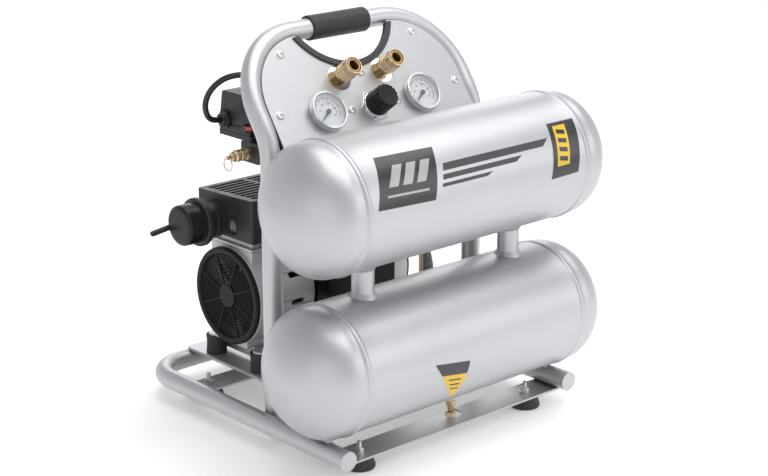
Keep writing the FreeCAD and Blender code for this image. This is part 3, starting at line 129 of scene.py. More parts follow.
def surface(name, colour, metallic, roughness, mottle=0.06, mottle_scale=9, rough_spread=0.06,
            grain=0.1, grain_scale=900, grain_stretch=None, painted_shade=0.35, coat=0.0, depth=0.00005,
            specular=0.5):
    """A principled material with mottled colour, uneven roughness, grain and painted shade darkening its
    crevices.
    """
    material = bpy.data.materials.new(name)
    material.use_nodes = True
    tree = material.node_tree
    shader = tree.nodes["Principled BSDF"]
    shader.inputs["Metallic"].default_value = metallic
    shader.inputs["Specular IOR Level"].default_value = specular
    shader.inputs["Coat Weight"].default_value = coat
    shader.inputs["Coat Roughness"].default_value = 0.12
    coords = tree.nodes.new("ShaderNodeTexCoord").outputs["Object"]
    broad = noise(tree, coords, mottle_scale, 5)
    darker = tuple(c * (1 - mottle) for c in colour)
    lighter = tuple(min(1.0, c * (1 + mottle)) for c in colour)
    base = blend_colours(tree, spread(tree, broad, 0, 1), darker, lighter)
    # Painted shade: where ambient occlusion finds crevices and gaps between parts, the colour is darkened
    # towards 0.3 of itself, scaled by the amount given.
    hollow = tree.nodes.new("ShaderNodeAmbientOcclusion")
    hollow.samples = 6
    hollow.inputs["Distance"].default_value = 0.012
    shade = spread(tree, hollow.outputs["AO"], 1, 0)
    dim = tree.nodes.new("ShaderNodeMath")
    dim.operation = "MULTIPLY"
    dim.inputs[1].default_value = painted_shade
    link(tree, shade, dim.inputs[0])
    base = blend_colours(tree, dim.outputs[0], base, tuple(c * 0.3 for c in colour))
    link(tree, base, shader.inputs["Base Color"])
    patches = noise(tree, coords, mottle_scale * 4, 4)
    link(tree, spread(tree, patches, roughness - rough_spread, roughness + rough_spread),
         shader.inputs["Roughness"])
    fine_coords = stretched(tree, coords, grain_stretch) if grain_stretch else coords
    bump = tree.nodes.new("ShaderNodeBump")
    bump.inputs["Strength"].default_value = grain
    bump.inputs["Distance"].default_value = depth
    link(tree, noise(tree, fine_coords, grain_scale, 2), bump.inputs["Height"])
    link(tree, bump.outputs["Normal"], shader.inputs["Normal"])
    return material


def glass_material():
    """Clear lens: mostly see-through, with a gloss."""
    material = surface("lens", (1, 1, 1), 0, 0.04, mottle=0, rough_spread=0.02, grain=0.02, grain_scale=120,
                       painted_shade=0)
    shader = material.node_tree.nodes["Principled BSDF"]
    shader.inputs["Alpha"].default_value = 0.1
    shader.inputs["Specular IOR Level"].default_value = 0.8
    return material


def braid_material():
    """Grey woven sleeve: two crossed wave patterns along the hose."""
    material = surface("braid", (0.36, 0.36, 0.36), 0.2, 0.55, mottle=0.15, mottle_scale=120)
    tree = material.node_tree
    shader = tree.nodes["Principled BSDF"]
    coords = tree.nodes.new("ShaderNodeTexCoord").outputs["UV"]
    heights = []
    for slope in (1, -1):
        wave = tree.nodes.new("ShaderNodeTexWave")
        wave.bands_direction = "DIAGONAL"
        wave.inputs["Scale"].default_value = 1.0
        link(tree, stretched(tree, coords, (60, 9 * slope, 1)), wave.inputs["Vector"])
        heights.append(wave.outputs["Fac"])
    high_of = tree.nodes.new("ShaderNodeMath")
    high_of.operation = "MAXIMUM"
    for socket, value in zip(high_of.inputs, heights):
        link(tree, value, socket)
    bump = tree.nodes.new("ShaderNodeBump")
    bump.inputs["Strength"].default_value = 0.7
    bump.inputs["Distance"].default_value = 0.0006
    link(tree, high_of.outputs[0], bump.inputs["Height"])
    link(tree, bump.outputs["Normal"], shader.inputs["Normal"])
    return material


SILVER = surface("silver_paint", (0.54, 0.543, 0.556), 0.8, 0.41, mottle=0.02, mottle_scale=5,
                 rough_spread=0.02,
                 grain=0.10, grain_scale=2600, painted_shade=0.45)
FRAME = surface("frame_paint", (0.545, 0.55, 0.56), 0.75, 0.40, mottle=0.02, mottle_scale=12,
                rough_spread=0.02,
                grain=0.12, grain_scale=2200, painted_shade=0.5)
CAST = surface("cast_aluminium", (0.60, 0.60, 0.61), 0.6, 0.5, mottle=0.06, mottle_scale=25,
               grain=0.5, grain_scale=1300, painted_shade=0.6, depth=0.0001)
ZINC = surface("zinc", (0.70, 0.70, 0.69), 0.95, 0.36, mottle=0.08, mottle_scale=60, grain=0.15)
CHROME = surface("chrome", (0.74, 0.75, 0.77), 1.0, 0.14, mottle=0.02, rough_spread=0.03, grain=0.03)
BRASS = surface("brass", (0.76, 0.58, 0.36), 0.95, 0.30, mottle=0.12, mottle_scale=70, grain=0.25,
                grain_scale=500, grain_stretch=(1, 1, 6), painted_shade=0.6)
DARK_BRASS = surface("dark_brass", (0.52, 0.35, 0.16), 1.0, 0.36, mottle=0.15, mottle_scale=70,
                     grain=0.25, painted_shade=0.6)
RUBBER = surface("rubber", (0.028, 0.028, 0.030), 0.0, 0.62, mottle=0.2, mottle_scale=40, grain=0.6,
                 grain_scale=1500, depth=0.0001)
GRIP = surface("grip_rubber", (0.018, 0.018, 0.021), 0.0, 0.5, mottle=0.15, mottle_scale=30,
               grain=0.7, grain_scale=900, depth=0.00016)
TRIM = surface("trim_rubber", (0.030, 0.031, 0.035), 0.0, 0.45, mottle=0.12, mottle_scale=30, grain=0.4)
PLASTIC = surface("black_plastic", (0.024, 0.0245, 0.028), 0.0, 0.42, mottle=0.15, mottle_scale=30,
                  grain=0.7, grain_scale=1700, depth=0.00008, specular=0.38)
GUARD = surface("guard_plastic", (0.006, 0.0065, 0.0075), 0.0, 0.55, mottle=0.15, mottle_scale=40,
                rough_spread=0.04,
                grain=0.5, grain_scale=1500, painted_shade=0.8, specular=0.3)
GLOSS = surface("gloss_plastic", (0.010, 0.0105, 0.012), 0.0, 0.32, mottle=0.1, mottle_scale=20,
                rough_spread=0.03, grain=0.08, grain_scale=1500, specular=0.3)
CABLE = surface("cable_jacket", (0.016, 0.016, 0.017), 0.0, 0.38, mottle=0.15, mottle_scale=60, grain=0.2)
LAMINATION = surface("lamination", (0.018, 0.018, 0.02), 0.3, 0.45, mottle=0.2, mottle_scale=60, grain=0.9,
                     grain_scale=300, grain_stretch=(8, 0.3, 0.3), depth=0.0002)
COPPER = surface("copper_wire", (0.62, 0.27, 0.08), 0.85, 0.35, mottle=0.2, mottle_scale=150, grain=0.9,
                 grain_scale=260, grain_stretch=(1, 3, 3), depth=0.0004)
STEEL = surface("ground_steel", (0.56, 0.56, 0.57), 1.0, 0.3, grain_stretch=(0.2, 1, 1), mottle_scale=40)
RED = surface("red_plastic", (0.5, 0.02, 0.015), 0.0, 0.3, mottle=0.06, mottle_scale=60, grain=0.2)
WHITE = surface("dial_white", (0.83, 0.85, 0.87), 0.0, 0.5, mottle=0.02, mottle_scale=60, grain=0.05)
INK = surface("ink", (0.022, 0.024, 0.032), 0.0, 0.45, mottle=0.1, mottle_scale=80, grain=0.05)
RED_INK = surface("red_ink", (0.6, 0.03, 0.03), 0.0, 0.45, mottle=0.05, mottle_scale=80, grain=0.05)
LABEL_BLACK = surface("label_black", (0.025, 0.025, 0.028), 0.0, 0.3, mottle=0.12, mottle_scale=30,
                      grain=0.1, coat=0.3, painted_shade=0)
LABEL_GREY = surface("label_grey", (0.42, 0.42, 0.43), 0.3, 0.35, mottle=0.04, mottle_scale=30, grain=0.1,
                     painted_shade=0)
LABEL_DARK = surface("label_print", (0.05, 0.05, 0.055), 0.0, 0.4, mottle=0.1, mottle_scale=30, grain=0.1,
                     painted_shade=0)
LABEL_YELLOW = surface("label_yellow", (0.75, 0.48, 0.03), 0.0, 0.35, mottle=0.05, mottle_scale=30,
                       grain=0.1, painted_shade=0)
LENS = glass_material()
BRAID = braid_material()


# ---- mesh helpers --------------------------------------------------------------------------
def piece(name, verts, faces, material, body="frame", matrix=None, sharp=38.0):
    """A mesh object that rides on a body; edges sharper than the angle stay crisp."""
    mesh = bpy.data.meshes.new(name)
    mesh.from_pydata([matrix @ Vector(v) for v in verts] if matrix else verts, [], faces)
    mesh.validate()
    mesh.polygons.foreach_set("use_smooth", [True] * len(mesh.polygons))
    mesh.set_sharp_from_angle(angle=math.radians(sharp))
    obj = bpy.data.objects.new(name, mesh)
    bpy.context.scene.collection.objects.link(obj)
    obj.data.materials.append(material)
    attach(obj, body)
    return obj


def joined(first, *others):
    """Merges pieces into the first one, keeping each face's material."""
    bpy.ops.object.select_all(action="DESELECT")
    for obj in (first, *others):
        obj.select_set(True)
    bpy.context.view_layer.objects.active = first
    bpy.ops.object.join()
    return first


def softened(profile, radius, steps=4):
    """The profile's corners rounded; a point may carry its own radius as a third value."""
    out = []
    for i, point in enumerate(profile):
        own = point[2] if len(point) > 2 else radius
        here = Vector(point[:2])
        if i in (0, len(profile) - 1) or own == 0:
            out.append(tuple(here))
            continue
        before, after = Vector(profile[i - 1][:2]) - here, Vector(profile[i + 1][:2]) - here
        reach = min(own, before.length * 0.45, after.length * 0.45)
        start, end = here + before.normalized() * reach, here + after.normalized() * reach
        for k in range(steps + 1):
            t = k / steps
            out.append(tuple(start * (1 - t) ** 2 + here * 2 * t * (1 - t) + end * t ** 2))
    return out


def lathe(name, profile, material, matrix, body="frame", segments=72, soft=0.5, wave=None, sharp=38.0):
    """Turns (height, radius) points about local Z; wave(height, angle, radius) may shape the radius."""
    verts, faces, rings = [], [], []
    for height, radius in softened(profile, soft):
        ring = []
        if radius <= 0.01:
            ring = [len(verts)] * segments
            verts.append((0, 0, height))
        else:
            for k in range(segments):
                angle = 2 * math.pi * k / segments
                r = wave(height, angle, radius) if wave else radius
                ring.append(len(verts))
                verts.append((r * math.cos(angle), r * math.sin(angle), height))
        rings.append(ring)
    for first, second in zip(rings, rings[1:]):
        for k in range(segments):
            corners = [first[k], first[(k + 1) % segments], second[(k + 1) % segments], second[k]]
            faces.append(tuple(dict.fromkeys(corners)))
    return piece(name, verts, [f for f in faces if len(f) > 2], material, body, matrix, sharp)


def prism(name, outline, height, material, matrix, body="frame", bevel=0.5, sharp=30.0):
    """An outline in local XY raised along local Z, with bevelled edges."""
    n = len(outline)
    verts = [(x, y, 0) for x, y in outline] + [(x, y, height) for x, y in outline]
    faces = [tuple(reversed(range(n))), tuple(range(n, 2 * n))]
    faces += [(i, (i + 1) % n, n + (i + 1) % n, n + i) for i in range(n)]
    obj = piece(name, verts, faces, material, body, matrix, sharp)
    add_bevel(obj, bevel * MM)
    return obj


def add_bevel(obj, width, segments=3, weld=False):
    if weld:
        obj.modifiers.new("weld", "WELD").merge_threshold = 2e-6
    modifier = obj.modifiers.new("bevel", "BEVEL")
    modifier.width = width
    modifier.segments = segments
    modifier.limit_method = "ANGLE"
    modifier.angle_limit = math.radians(32)
    modifier.harden_normals = True
    modifier.use_clamp_overlap = False
    obj.modifiers.new("normals", "WEIGHTED_NORMAL").keep_sharp = True


def apply_modifiers(obj):
    """Bakes the modifiers into the mesh, so that the piece can be joined to others."""
    obj.data = bpy.data.meshes.new_from_object(obj.evaluated_get(bpy.context.evaluated_depsgraph_get()))
    obj.modifiers.clear()


def hexagon(across):
    r = across / math.sqrt(3)
    return [(r * math.cos(math.pi * k / 3), r * math.sin(math.pi * k / 3)) for k in range(6)]


def line(name, points, radius, material, body="frame", cyclic=False, resolution=10):
    """A round bar or cable along one smooth curve through its control points."""
    curve = bpy.data.curves.new(name, "CURVE")
    curve.dimensions = "3D"
    spline = curve.splines.new("NURBS")
    spline.points.add(len(points) - 1)
    for target, point in zip(spline.points, points):
        target.co = (*at(*point), 1)
    spline.order_u = 3
    spline.use_cyclic_u = cyclic
    spline.use_endpoint_u = not cyclic
    spline.resolution_u = 16
    curve.bevel_depth = radius * MM
    curve.bevel_resolution = resolution
    curve.use_fill_caps = True
    obj = bpy.data.objects.new(name, curve)
    bpy.context.scene.collection.objects.link(obj)
    curve.materials.append(material)
    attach(obj, body)
    return obj


# ---- camera --------------------------------------------------------------------------------
CAMERA_PLACE = (-1531.2, -1599.3, 820.9)   # mm from the lower tank's axis
VIEW_AZIMUTH = -42.05
VIEW_ELEVATION = 17.4
FOCAL_LENGTH = 87.98                       # mm, on a sensor 36 mm wide

camera = bpy.data.objects.new("camera", bpy.data.cameras.new("camera"))
bpy.context.scene.collection.objects.link(camera)
camera.location = at(CAMERA_PLACE[0], CAMERA_PLACE[1], CAMERA_PLACE[2] + LOWER_Z)
camera.rotation_euler = (math.radians(90 - VIEW_ELEVATION), 0, math.radians(VIEW_AZIMUTH))
camera.data.sensor_width = 36
camera.data.lens = FOCAL_LENGTH
camera.data.clip_start, camera.data.clip_end = 0.05, 100
bpy.context.scene.camera = camera

# ---- cord: motor lead from the switch to the capacitor box -----------------------------------
LEAD = [(-149, 241, 388.5), (-160, 241, 388.5), (-170, 240, 397), (-174, 238, 414), (-168.5, 232, 432),
        (-155, 221.5, 446), (-137, 208, 450.5), (-118, 194, 444), (-101, 181, 430), (-88, 170, 410),
        (-78, 162, 384), (-68, 155, 350), (-58, 150, 312), (-40, 150, 276), (-14, 155, 250),
        (14, 164, 236), (40, 179, 224), (40, 179, 199.95)]
lead = line("motor_cable", LEAD, 3.75, CABLE)
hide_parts("motor_lead")

HOSE = [(84, 104, 163), (84, 104, 186), (76, 116, 224), (77, 144, 240), (86, 170, 238.3), (86, 190, 238.3)]
hose = line("braided_hose", HOSE, 7.0, BRAID)
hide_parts("discharge_hose")


# ---- tanks ---------------------------------------------------------------------------------
def tank_profile():
    """Half of the tank's outline from the middle to the tip of a torispherical head."""
    knuckle, skirt_end = 40.0, SEAM_X + 12.0
    depth = HALF - skirt_end
    crown = (depth ** 2 + (TANK_R - knuckle) ** 2 - knuckle ** 2) / (2 * (depth - knuckle))
    centre = HALF - crown
    tangent_angle = math.atan2(TANK_R - knuckle, skirt_end - centre)
    points = [(SEAM_X * k / 12, TANK_R) for k in range(11)]
    points += [(SEAM_X - 4.5, TANK_R), (SEAM_X - 3.2, TANK_R + 0.15)]
    points += [(SEAM_X + 3.0 * math.sin(a), TANK_R + 0.2 + 1.2 * math.cos(a))
               for a in [math.radians(d) for d in range(-75, 80, 15)]]
    points += [(SEAM_X + 3.4, TANK_R - 0.35), (SEAM_X + 6, TANK_R - 0.4), (skirt_end, TANK_R - 0.4)]
    for k in range(1, 17):
        angle = math.pi / 2 + (tangent_angle - math.pi / 2) * k / 16
        points.append((skirt_end + knuckle * math.cos(angle),
                       TANK_R - knuckle + knuckle * math.sin(angle) - 0.2))
    for k in range(1, 25):
        angle = tangent_angle * (1 - k / 24)
        points.append((centre + crown * math.cos(angle), crown * math.sin(angle)))
    return points


def tank(name, z, node):
    half = tank_profile()
    profile = [(-x, r, 0) for x, r in reversed(half[1:])] + [(x, r, 0) for x, r in half]

    def weld(height, angle, radius):
        """The seam's bead is laid in short overlapping steps."""
        near = max(0.0, 1 - abs(abs(height) - SEAM_X) / 3.0)
        return radius + near * 0.22 * math.sin(angle * 96 + 0.6 * math.sin(angle * 7))
    obj = lathe(name, profile, SILVER, frame_at(at(0, 0, z), X, Y), segments=288, wave=weld, sharp=60)
    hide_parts(node)
    return obj


tank("upper_tank_shell", UPPER_Z, "upper_tank")
tank("lower_tank_shell", LOWER_Z, "lower_tank")


# ---- labels --------------------------------------------------------------------------------
def label_point(corners, u, v):
    """(x, degrees above horizontal) inside a label: u to the right, v downwards."""
    (ul, ur, ll, lr) = corners
    top = [a + (b - a) * u for a, b in zip(ul, ur)]
    bottom = [a + (b - a) * u for a, b in zip(ll, lr)]
    return [a + (b - a) * v for a, b in zip(top, bottom)]


def sticker(name, corners, z, material, outline=None, lift=0.15, thick=0.12, steps=28):
    """A thin film bent round a tank; outline holds (u, v) corners, the whole label by default."""
    outline = outline or [(0, 0), (1, 0), (1, 1), (0, 1)]
    verts, faces = [], []
    top, bottom = outline[0], outline[3]
    top_right, bottom_right = outline[1], outline[2]
    for layer in (lift + thick, lift * 0.2):
        for j in range(steps + 1):
            v = j / steps
            start = [a + (b - a) * v for a, b in zip(top, bottom)]
            end = [a + (b - a) * v for a, b in zip(top_right, bottom_right)]
            for i in range(steps + 1):
                u = i / steps
                uu, vv = [a + (b - a) * u for a, b in zip(start, end)]
                x, degrees = label_point(corners, uu, vv)
                angle = math.radians(degrees)
                r = TANK_R + layer
                verts.append(at(x, -r * math.cos(angle), z + r * math.sin(angle)))
    row, sheet = steps + 1, (steps + 1) ** 2
    for j in range(steps):
        for i in range(steps):
            a = j * row + i
            faces.append((a, a + row, a + row + 1, a + 1))
            faces.append((sheet + a, sheet + a + 1, sheet + a + row + 1, sheet + a + row))
    rim = [i for i in range(row)] + [j * row + steps for j in range(1, row)]
    rim += [steps * row + i for i in range(steps - 1, -1, -1)] + [j * row for j in range(steps - 1, 0, -1)]
    for k in range(len(rim)):
        a, b = rim[k], rim[(k + 1) % len(rim)]
        faces.append((a, b, sheet + b, sheet + a))
    return piece(name, verts, faces, material, sharp=50)


MAIN_LABEL = ((-151, 52), (-61, 50), (-170, 8), (-81, 5.5))
STRIPE_AREA = ((-60, 36), (127, 36), (-73, 12), (117, 12))
SIDE_LABEL = ((130, 46), (177, 46), (116, -3), (164, -2))
SHIELD = ((-79, 2), (-21, -4), (-39, -39), (-29, -42))

sticker("label_main", MAIN_LABEL, UPPER_Z, LABEL_BLACK)
for k, (u0, width) in enumerate(((0.16, 0.16), (0.40, 0.16), (0.64, 0.16))):
    slant = 0.10
    sticker("label_bar_%d" % k, MAIN_LABEL, UPPER_Z, LABEL_GREY, lift=0.3, steps=12,
            outline=[(u0 + slant, 0.22), (u0 + slant + width, 0.22), (u0 + width, 0.62), (u0, 0.62)])
sticker("label_rule", MAIN_LABEL, UPPER_Z, LABEL_GREY, lift=0.3, steps=16,
        outline=[(0.14, 0.76), (0.86, 0.76), (0.86, 0.80), (0.14, 0.80)])
for k, (u0, u1, v0, v1) in enumerate(((0.02, 0.97, 0.10, 0.36), (0.02, 0.72, 0.48, 0.66),
                                      (0.02, 0.46, 0.78, 0.90))):
    sticker("stripe_%d" % k, STRIPE_AREA, UPPER_Z, LABEL_DARK, lift=0.1, steps=24,
            outline=[(u0, v0), (u1, v0), (u1 - 0.05, v1), (u0, v1)])
sticker("label_side", SIDE_LABEL, UPPER_Z, LABEL_BLACK)
sticker("label_side_flash", SIDE_LABEL, UPPER_Z, LABEL_YELLOW, lift=0.3, steps=16,
        outline=[(0.16, 0.07), (0.62, 0.07), (0.62, 0.80), (0.16, 0.80)])
for k in range(4):
    v0 = 0.14 + 0.16 * k
    sticker("label_side_bar_%d" % k, SIDE_LABEL, UPPER_Z, LABEL_BLACK, lift=0.45, steps=8,
            outline=[(0.24, v0), (0.54, v0 + 0.04), (0.54, v0 + 0.12), (0.24, v0 + 0.08)])
sticker("label_shield", SHIELD, LOWER_Z, LABEL_YELLOW)
sticker("label_shield_band", SHIELD, LOWER_Z, LABEL_BLACK, lift=0.3,
        outline=[(0, 0), (1, 0), (1.0, 0.3), (0.0, 0.3)])
for k in range(3):
    v0 = 0.42 + 0.14 * k
    sticker("label_shield_rule_%d" % k, SHIELD, LOWER_Z, LABEL_DARK, lift=0.3, steps=8,
            outline=[(0.2, v0), (0.8, v0), (0.8, v0 + 0.04), (0.2, v0 + 0.04)])

# ---- grip ----------------------------------------------------------------------------------
grip_profile = [(-47.5, 12.6), (-47.5, 14.6, 0.8), (-46.2, 16.0, 2.0), (-8, 15.8, 20), (40, 15.9, 4),
                (46.2, 16.0, 2.0), (47.5, 14.6, 0.8), (47.5, 12.6)]
grip = lathe("grip_sleeve", grip_profile, GRIP, frame_at(panel_at(2.5, 138, 0).translation, X, LEAN),
             segments=144)
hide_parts("handle_grip")


# ---- gauges --------------------------------------------------------------------------------
def arc_band(r0, r1, start, end, steps):
    """Flat band between two radii, in local XY, as (verts, faces)."""
    verts, faces = [], []
    for k in range(steps + 1):
        angle = math.radians(start + (end - start) * k / steps)
        verts += [(r0 * math.cos(angle), r0 * math.sin(angle), 0),
                  (r1 * math.cos(angle), r1 * math.sin(angle), 0)]
    for k in range(steps):
        a = 2 * k
        faces.append((a, a + 1, a + 3, a + 2) if end > start else (a, a + 2, a + 3, a + 1))
    return verts, faces


def numeral(text, size, place, matrix, name):
    """A flat number of the dial, in Blender's own font."""
    curve = bpy.data.curves.new(name, "FONT")
    curve.body = text
    curve.size = size
    curve.align_x = "CENTER"
    curve.align_y = "CENTER"
    holder = bpy.data.objects.new(name, curve)
    bpy.context.scene.collection.objects.link(holder)
    bpy.context.view_layer.update()
    mesh = bpy.data.meshes.new_from_object(holder.evaluated_get(bpy.context.evaluated_depsgraph_get()))
    verts = [(v.co.x + place[0], v.co.y + place[1], 0) for v in mesh.vertices]
    faces = [tuple(p.vertices) for p in mesh.polygons]
    bpy.data.objects.remove(holder)
    return piece(name, verts, faces, INK, "frame", matrix)


NEEDLE_REST, NEEDLE_SWEEP = 216.0, 252.0    # degrees of the dial's scale


def gauge(x, side):
    matrix = panel_at(x, 20.4, PANEL_FRONT)
    case = lathe("gauge_case_" + side, [
        (-25, 7), (0, 7, 0), (0, 23.5, 1.5), (1.6, 24.6, 0.6), (8.6, 24.6, 0.3), (8.8, 25.6, 0.4),
        (12.0, 25.6, 1.2),
        (13.0, 24.6, 0.8), (12.8, 23.2, 0.5), (11.2, 22.6, 0.4), (6.0, 22.4, 0.6), (6.0, 0)], CHROME, matrix,
        segments=120)
    # dial plate with its printed marks
    dial = lathe("gauge_dial_" + side, [(6.05, 0), (6.05, 21.6), (6.5, 22.35, 0.3), (9.5, 22.38)], WHITE,
                 matrix,
                 segments=96)
    marks = panel_at(x, 20.4, PANEL_FRONT + 6.12)
    parts = []
    for k in range(51):
        angle = NEEDLE_REST - NEEDLE_SWEEP * k / 50
        long_mark = k % 5 == 0
        verts, faces = arc_band(15.6 if long_mark else 16.8, 18.4, angle - (0.9 if long_mark else 0.45),
                                angle + (0.9 if long_mark else 0.45), 1)
        parts.append(piece("mark", verts, faces, INK, "frame", marks))
    verts, faces = arc_band(18.5, 18.8, NEEDLE_REST - NEEDLE_SWEEP, NEEDLE_REST, 90)
    parts.append(piece("mark", verts, faces, INK, "frame", marks))
    verts, faces = arc_band(12.6, 13.5, -20, 84, 40)
    parts.append(piece("mark", verts, faces, RED_INK, "frame", marks))
    for k in range(6):
        angle = math.radians(NEEDLE_REST - NEEDLE_SWEEP * k / 5)
        place = (11.2 * math.cos(angle), 11.2 * math.sin(angle))
        if k in (2, 3):
            place = (10.4 * math.cos(angle), 10.4 * math.sin(angle))
        parts.append(numeral(str(40 * k), 3.6, place, marks, "mark"))
    joined(*parts)
    parts[0].name = "gauge_marks_" + side
    lens = lathe("gauge_lens_" + side, [(10.9, 22.5), (11.6, 22.5, 0.2), (12.1, 17, 8), (12.35, 9, 8),
                                        (12.4, 0)],
                 LENS, matrix, segments=72)
    return case, lens


cases = [gauge(x, side) for x, side in ((-79.0, "left"), (79.0, "right"))]
for case, lens in cases:
    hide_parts("gauge_bodies")
    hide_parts("gauge_lenses")


# ---- regulator knob --------------------------------------------------------------------------
def knob_flutes(height, angle, radius):
    """Twelve wide lobes that fade out at the cap's rim."""
    depth = 0.9 * max(0.0, min(1.0, (height - 3) / 3)) * (1.0 if radius > 13 else 0.0)
    wave = math.cos(angle * 16)
    return radius - depth * (0.5 - 0.5 * max(-1.0, min(1.0, wave * 2.2)))


knob = lathe("regulator_cap", [(0, 8), (0, 16.2, 0.6), (2.4, 17.0, 0.6), (3.2, 16.4, 0.3), (24.6, 15.8, 0.3),
                               (27.0, 14.6, 1.2), (27.0, 12.8, 0.4), (26.2, 12.2, 0.4), (26.2, 0)], GLOSS,
             panel_at(0, 17.7, PANEL_FRONT + 6.3), "regulator_handle", segments=256, soft=0.4,
             wave=knob_flutes,
             sharp=50)
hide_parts("regulator_knob")
ring_nut = prism("regulator_nut", hexagon(38), 3.4, CHROME, panel_at(0, 17.7, PANEL_FRONT + 0.05), bevel=0.8)
collar = lathe("regulator_collar", [(3.3, 13), (3.3, 17.6, 0.3), (4.8, 17.4, 0.5), (5.5, 16.6, 0.4),
                                    (5.5, 13)], CHROME,
               panel_at(0, 17.7, PANEL_FRONT), segments=96)
barrel = lathe("regulator_barrel", [(-59.4, 0), (-59.4, 15, 1), (-57, 18.2, 1), (-52, 19, 1), (-24, 19, 1),
                                    (-22, 16.5, 1), (-4, 16.5, 1), (-2.1, 13.9, 0.5), (5.9, 13.9, 0.2),
                                    (5.9, 8)],
               CAST, panel_at(0, 17.7, PANEL_FRONT), segments=96)
tee = lathe("regulator_tee", [(-40, 0), (-40, 8, 1), (-28, 8, 0.2), (-27.5, 9.2, 0.3), (27.5, 9.2, 0.3),
                              (28, 8, 0.2),
                              (40, 8, 1), (40, 0)], CAST,
                              frame_at(panel_at(0, 63, -26).translation, X, OUT), segments=64)
spur = lathe("regulator_spur", [(0, 8), (38, 8, 0.2), (38, 0)], CAST,
             frame_at(panel_at(0, 22, -26).translation, LEAN, X), segments=64)
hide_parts("regulator_body")


# ---- couplers ------------------------------------------------------------------------------
def knurl(height, angle, radius):
    """Fine lengthwise knurl on the sleeve's bands."""
    band = 1.0 if radius > 12.0 and 12 < height < 26 else 0.0
    return radius + band * 0.16 * math.cos(angle * 60)


for x, side in ((-35.6, "left"), (35.6, "right")):
    base = panel_at(x, 63, PANEL_FRONT)
    sleeve_points = [(9.2, 10.1), (9.2, 11.2, 0.5), (12.6, 12.2, 0.5), (15.0, 12.2, 0.3), (15.6, 11.3, 0.3),
                     (17.0, 11.3, 0.3), (17.6, 12.2, 0.3), (19.6, 12.2, 0.3), (20.2, 11.3, 0.3),
                     (21.6, 11.3, 0.3),
                     (22.2, 12.2, 0.3), (24.2, 12.2, 0.3), (24.8, 11.4, 0.3), (26.6, 11.4, 0.3),
                     (27.4, 12.1, 0.4),
                     (35.0, 12.2, 0.6), (36.5, 11.3, 0.6), (36.3, 10.3, 0.2), (34.5, 10.1)]
    sleeve = lathe("coupler_grip_" + side, sleeve_points, BRASS, base, "sleeve_" + side, segments=180,
                   soft=0.3,
                   wave=knurl, sharp=50)
    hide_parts("coupler_sleeve_" + side)
    core_points = [(-16, 9.6), (-10, 9.95, 0.5), (34.6, 9.95, 0.2), (35.4, 9.4, 0.4), (36.3, 8.6, 0.3),
                   (36.3, 7.2, 0.3),
                   (34.9, 6.4, 0.3), (32.0, 5.8, 0.3), (20, 5.8, 0.2), (19.6, 4.2, 0.3), (15, 4.0, 0.2),
                   (15, 0)]
    core = lathe("coupler_core_" + side, core_points, DARK_BRASS, base, segments=96, soft=0.2)
    nut = prism("coupler_hex_" + side, hexagon(21), 15.5, DARK_BRASS, panel_at(x, 63, -10), bevel=0.7)
    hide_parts("coupler_body_" + side)


# ---- screws, studs and nuts ------------------------------------------------------------------
SCREWS = ((-110, 105.5), (110, 105.5), (-147, 28.6), (147, 28.6), (-38, 17.7), (38, 17.7), (0, 63.8))
FEET = ((-145, -17.5), (145, -17.5), (-145, 286), (145, 286))
BAR_TOP = 18.6


def screw_recess(height, angle, radius):
    """Makes a round recess six-sided."""
    if radius > 2.6:
        return radius
    return radius * math.cos(math.pi / 6) / math.cos((angle % (math.pi / 3)) - math.pi / 6)


def button_screw(x, s):
    base = panel_at(x, s, PANEL_FRONT)
    points = [(0.05, 6.5), (0.9, 6.5, 0.3), (1.3, 5.6, 0.3), (1.5, 5.3, 0.2), (2.6, 5.1, 0.5),
              (3.6, 3.9, 1.2),
              (3.9, 2.4, 0.2), (2.2, 1.9, 0.1), (2.1, 0)]
    return lathe("screw", points, ZINC, base, segments=72, wave=screw_recess, soft=0.3)


screws = joined(*[button_screw(x, s) for x, s in SCREWS])
screws.name = "panel_screw_set"
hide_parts("panel_screws")


def thread(pitch, depth, low_z, high_z):
    """A helical thread on a rod between two heights."""
    def wave(height, angle, radius):
        if not low_z < height < high_z:
            return radius
        turn = (height / pitch - angle / (2 * math.pi)) % 1
        return radius - depth * abs(2 * turn - 1)
    return wave


def stud(x, y):
    base = frame_at(at(x, y, 0), Z)
    top = BAR_TOP + 15
    points = [(5, 2.9)] + [(BAR_TOP + 0.25 * k, 3.0, 0) for k in range(57)] + [(top - 0.5, 2.9, 0.2),
                                                                               (top, 2.2, 0.2),
                                                                             (top, 0)]
    rod = lathe("stud", points, ZINC, base, segments=40, wave=thread(1.0, 0.45, BAR_TOP, top - 0.6), sharp=60)
    washer = lathe("washer", [(BAR_TOP, 3.1), (BAR_TOP, 7, 0.3), (BAR_TOP + 1.4, 7, 0.3),
                              (BAR_TOP + 1.4, 3.1)],
                   ZINC, base, segments=48)

    def chamfered(height, angle, radius):
        flat = math.cos(math.pi / 6) / math.cos((angle % (math.pi / 3)) - math.pi / 6)
        return min(radius, 5.77 * flat) if radius > 3.5 else radius
    n = BAR_TOP + 1.4
    nut = lathe("nut", [(n, 3.1), (n, 5.0, 0), (n + 0.7, 5.78, 0), (n + 4.3, 5.78, 0), (n + 5, 4.9, 0),
                        (n + 5, 3.1)],
                ZINC, base, segments=72, wave=chamfered, sharp=25)
    return [rod, washer, nut]


studs = joined(*[part for x, y in FEET for part in stud(x, y)])
studs.name = "stud_set"
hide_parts("frame_fasteners")


def rubber_foot(x, y):
    points = [(0, 0), (0, 19.0, 1.0), (1.5, 20.0, 0.8), (4.5, 20.0, 0.8), (6.0, 19.0, 0.8), (13.2, 17.4, 0.8),
              (15.55, 16.8, 0.8), (15.55, 3.2)]
    return lathe("foot", points, RUBBER, frame_at(at(x, y, 0), Z), segments=96)


feet = joined(*[rubber_foot(x, y) for x, y in FEET])
feet.name = "foot_set"
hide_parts("rubber_feet")


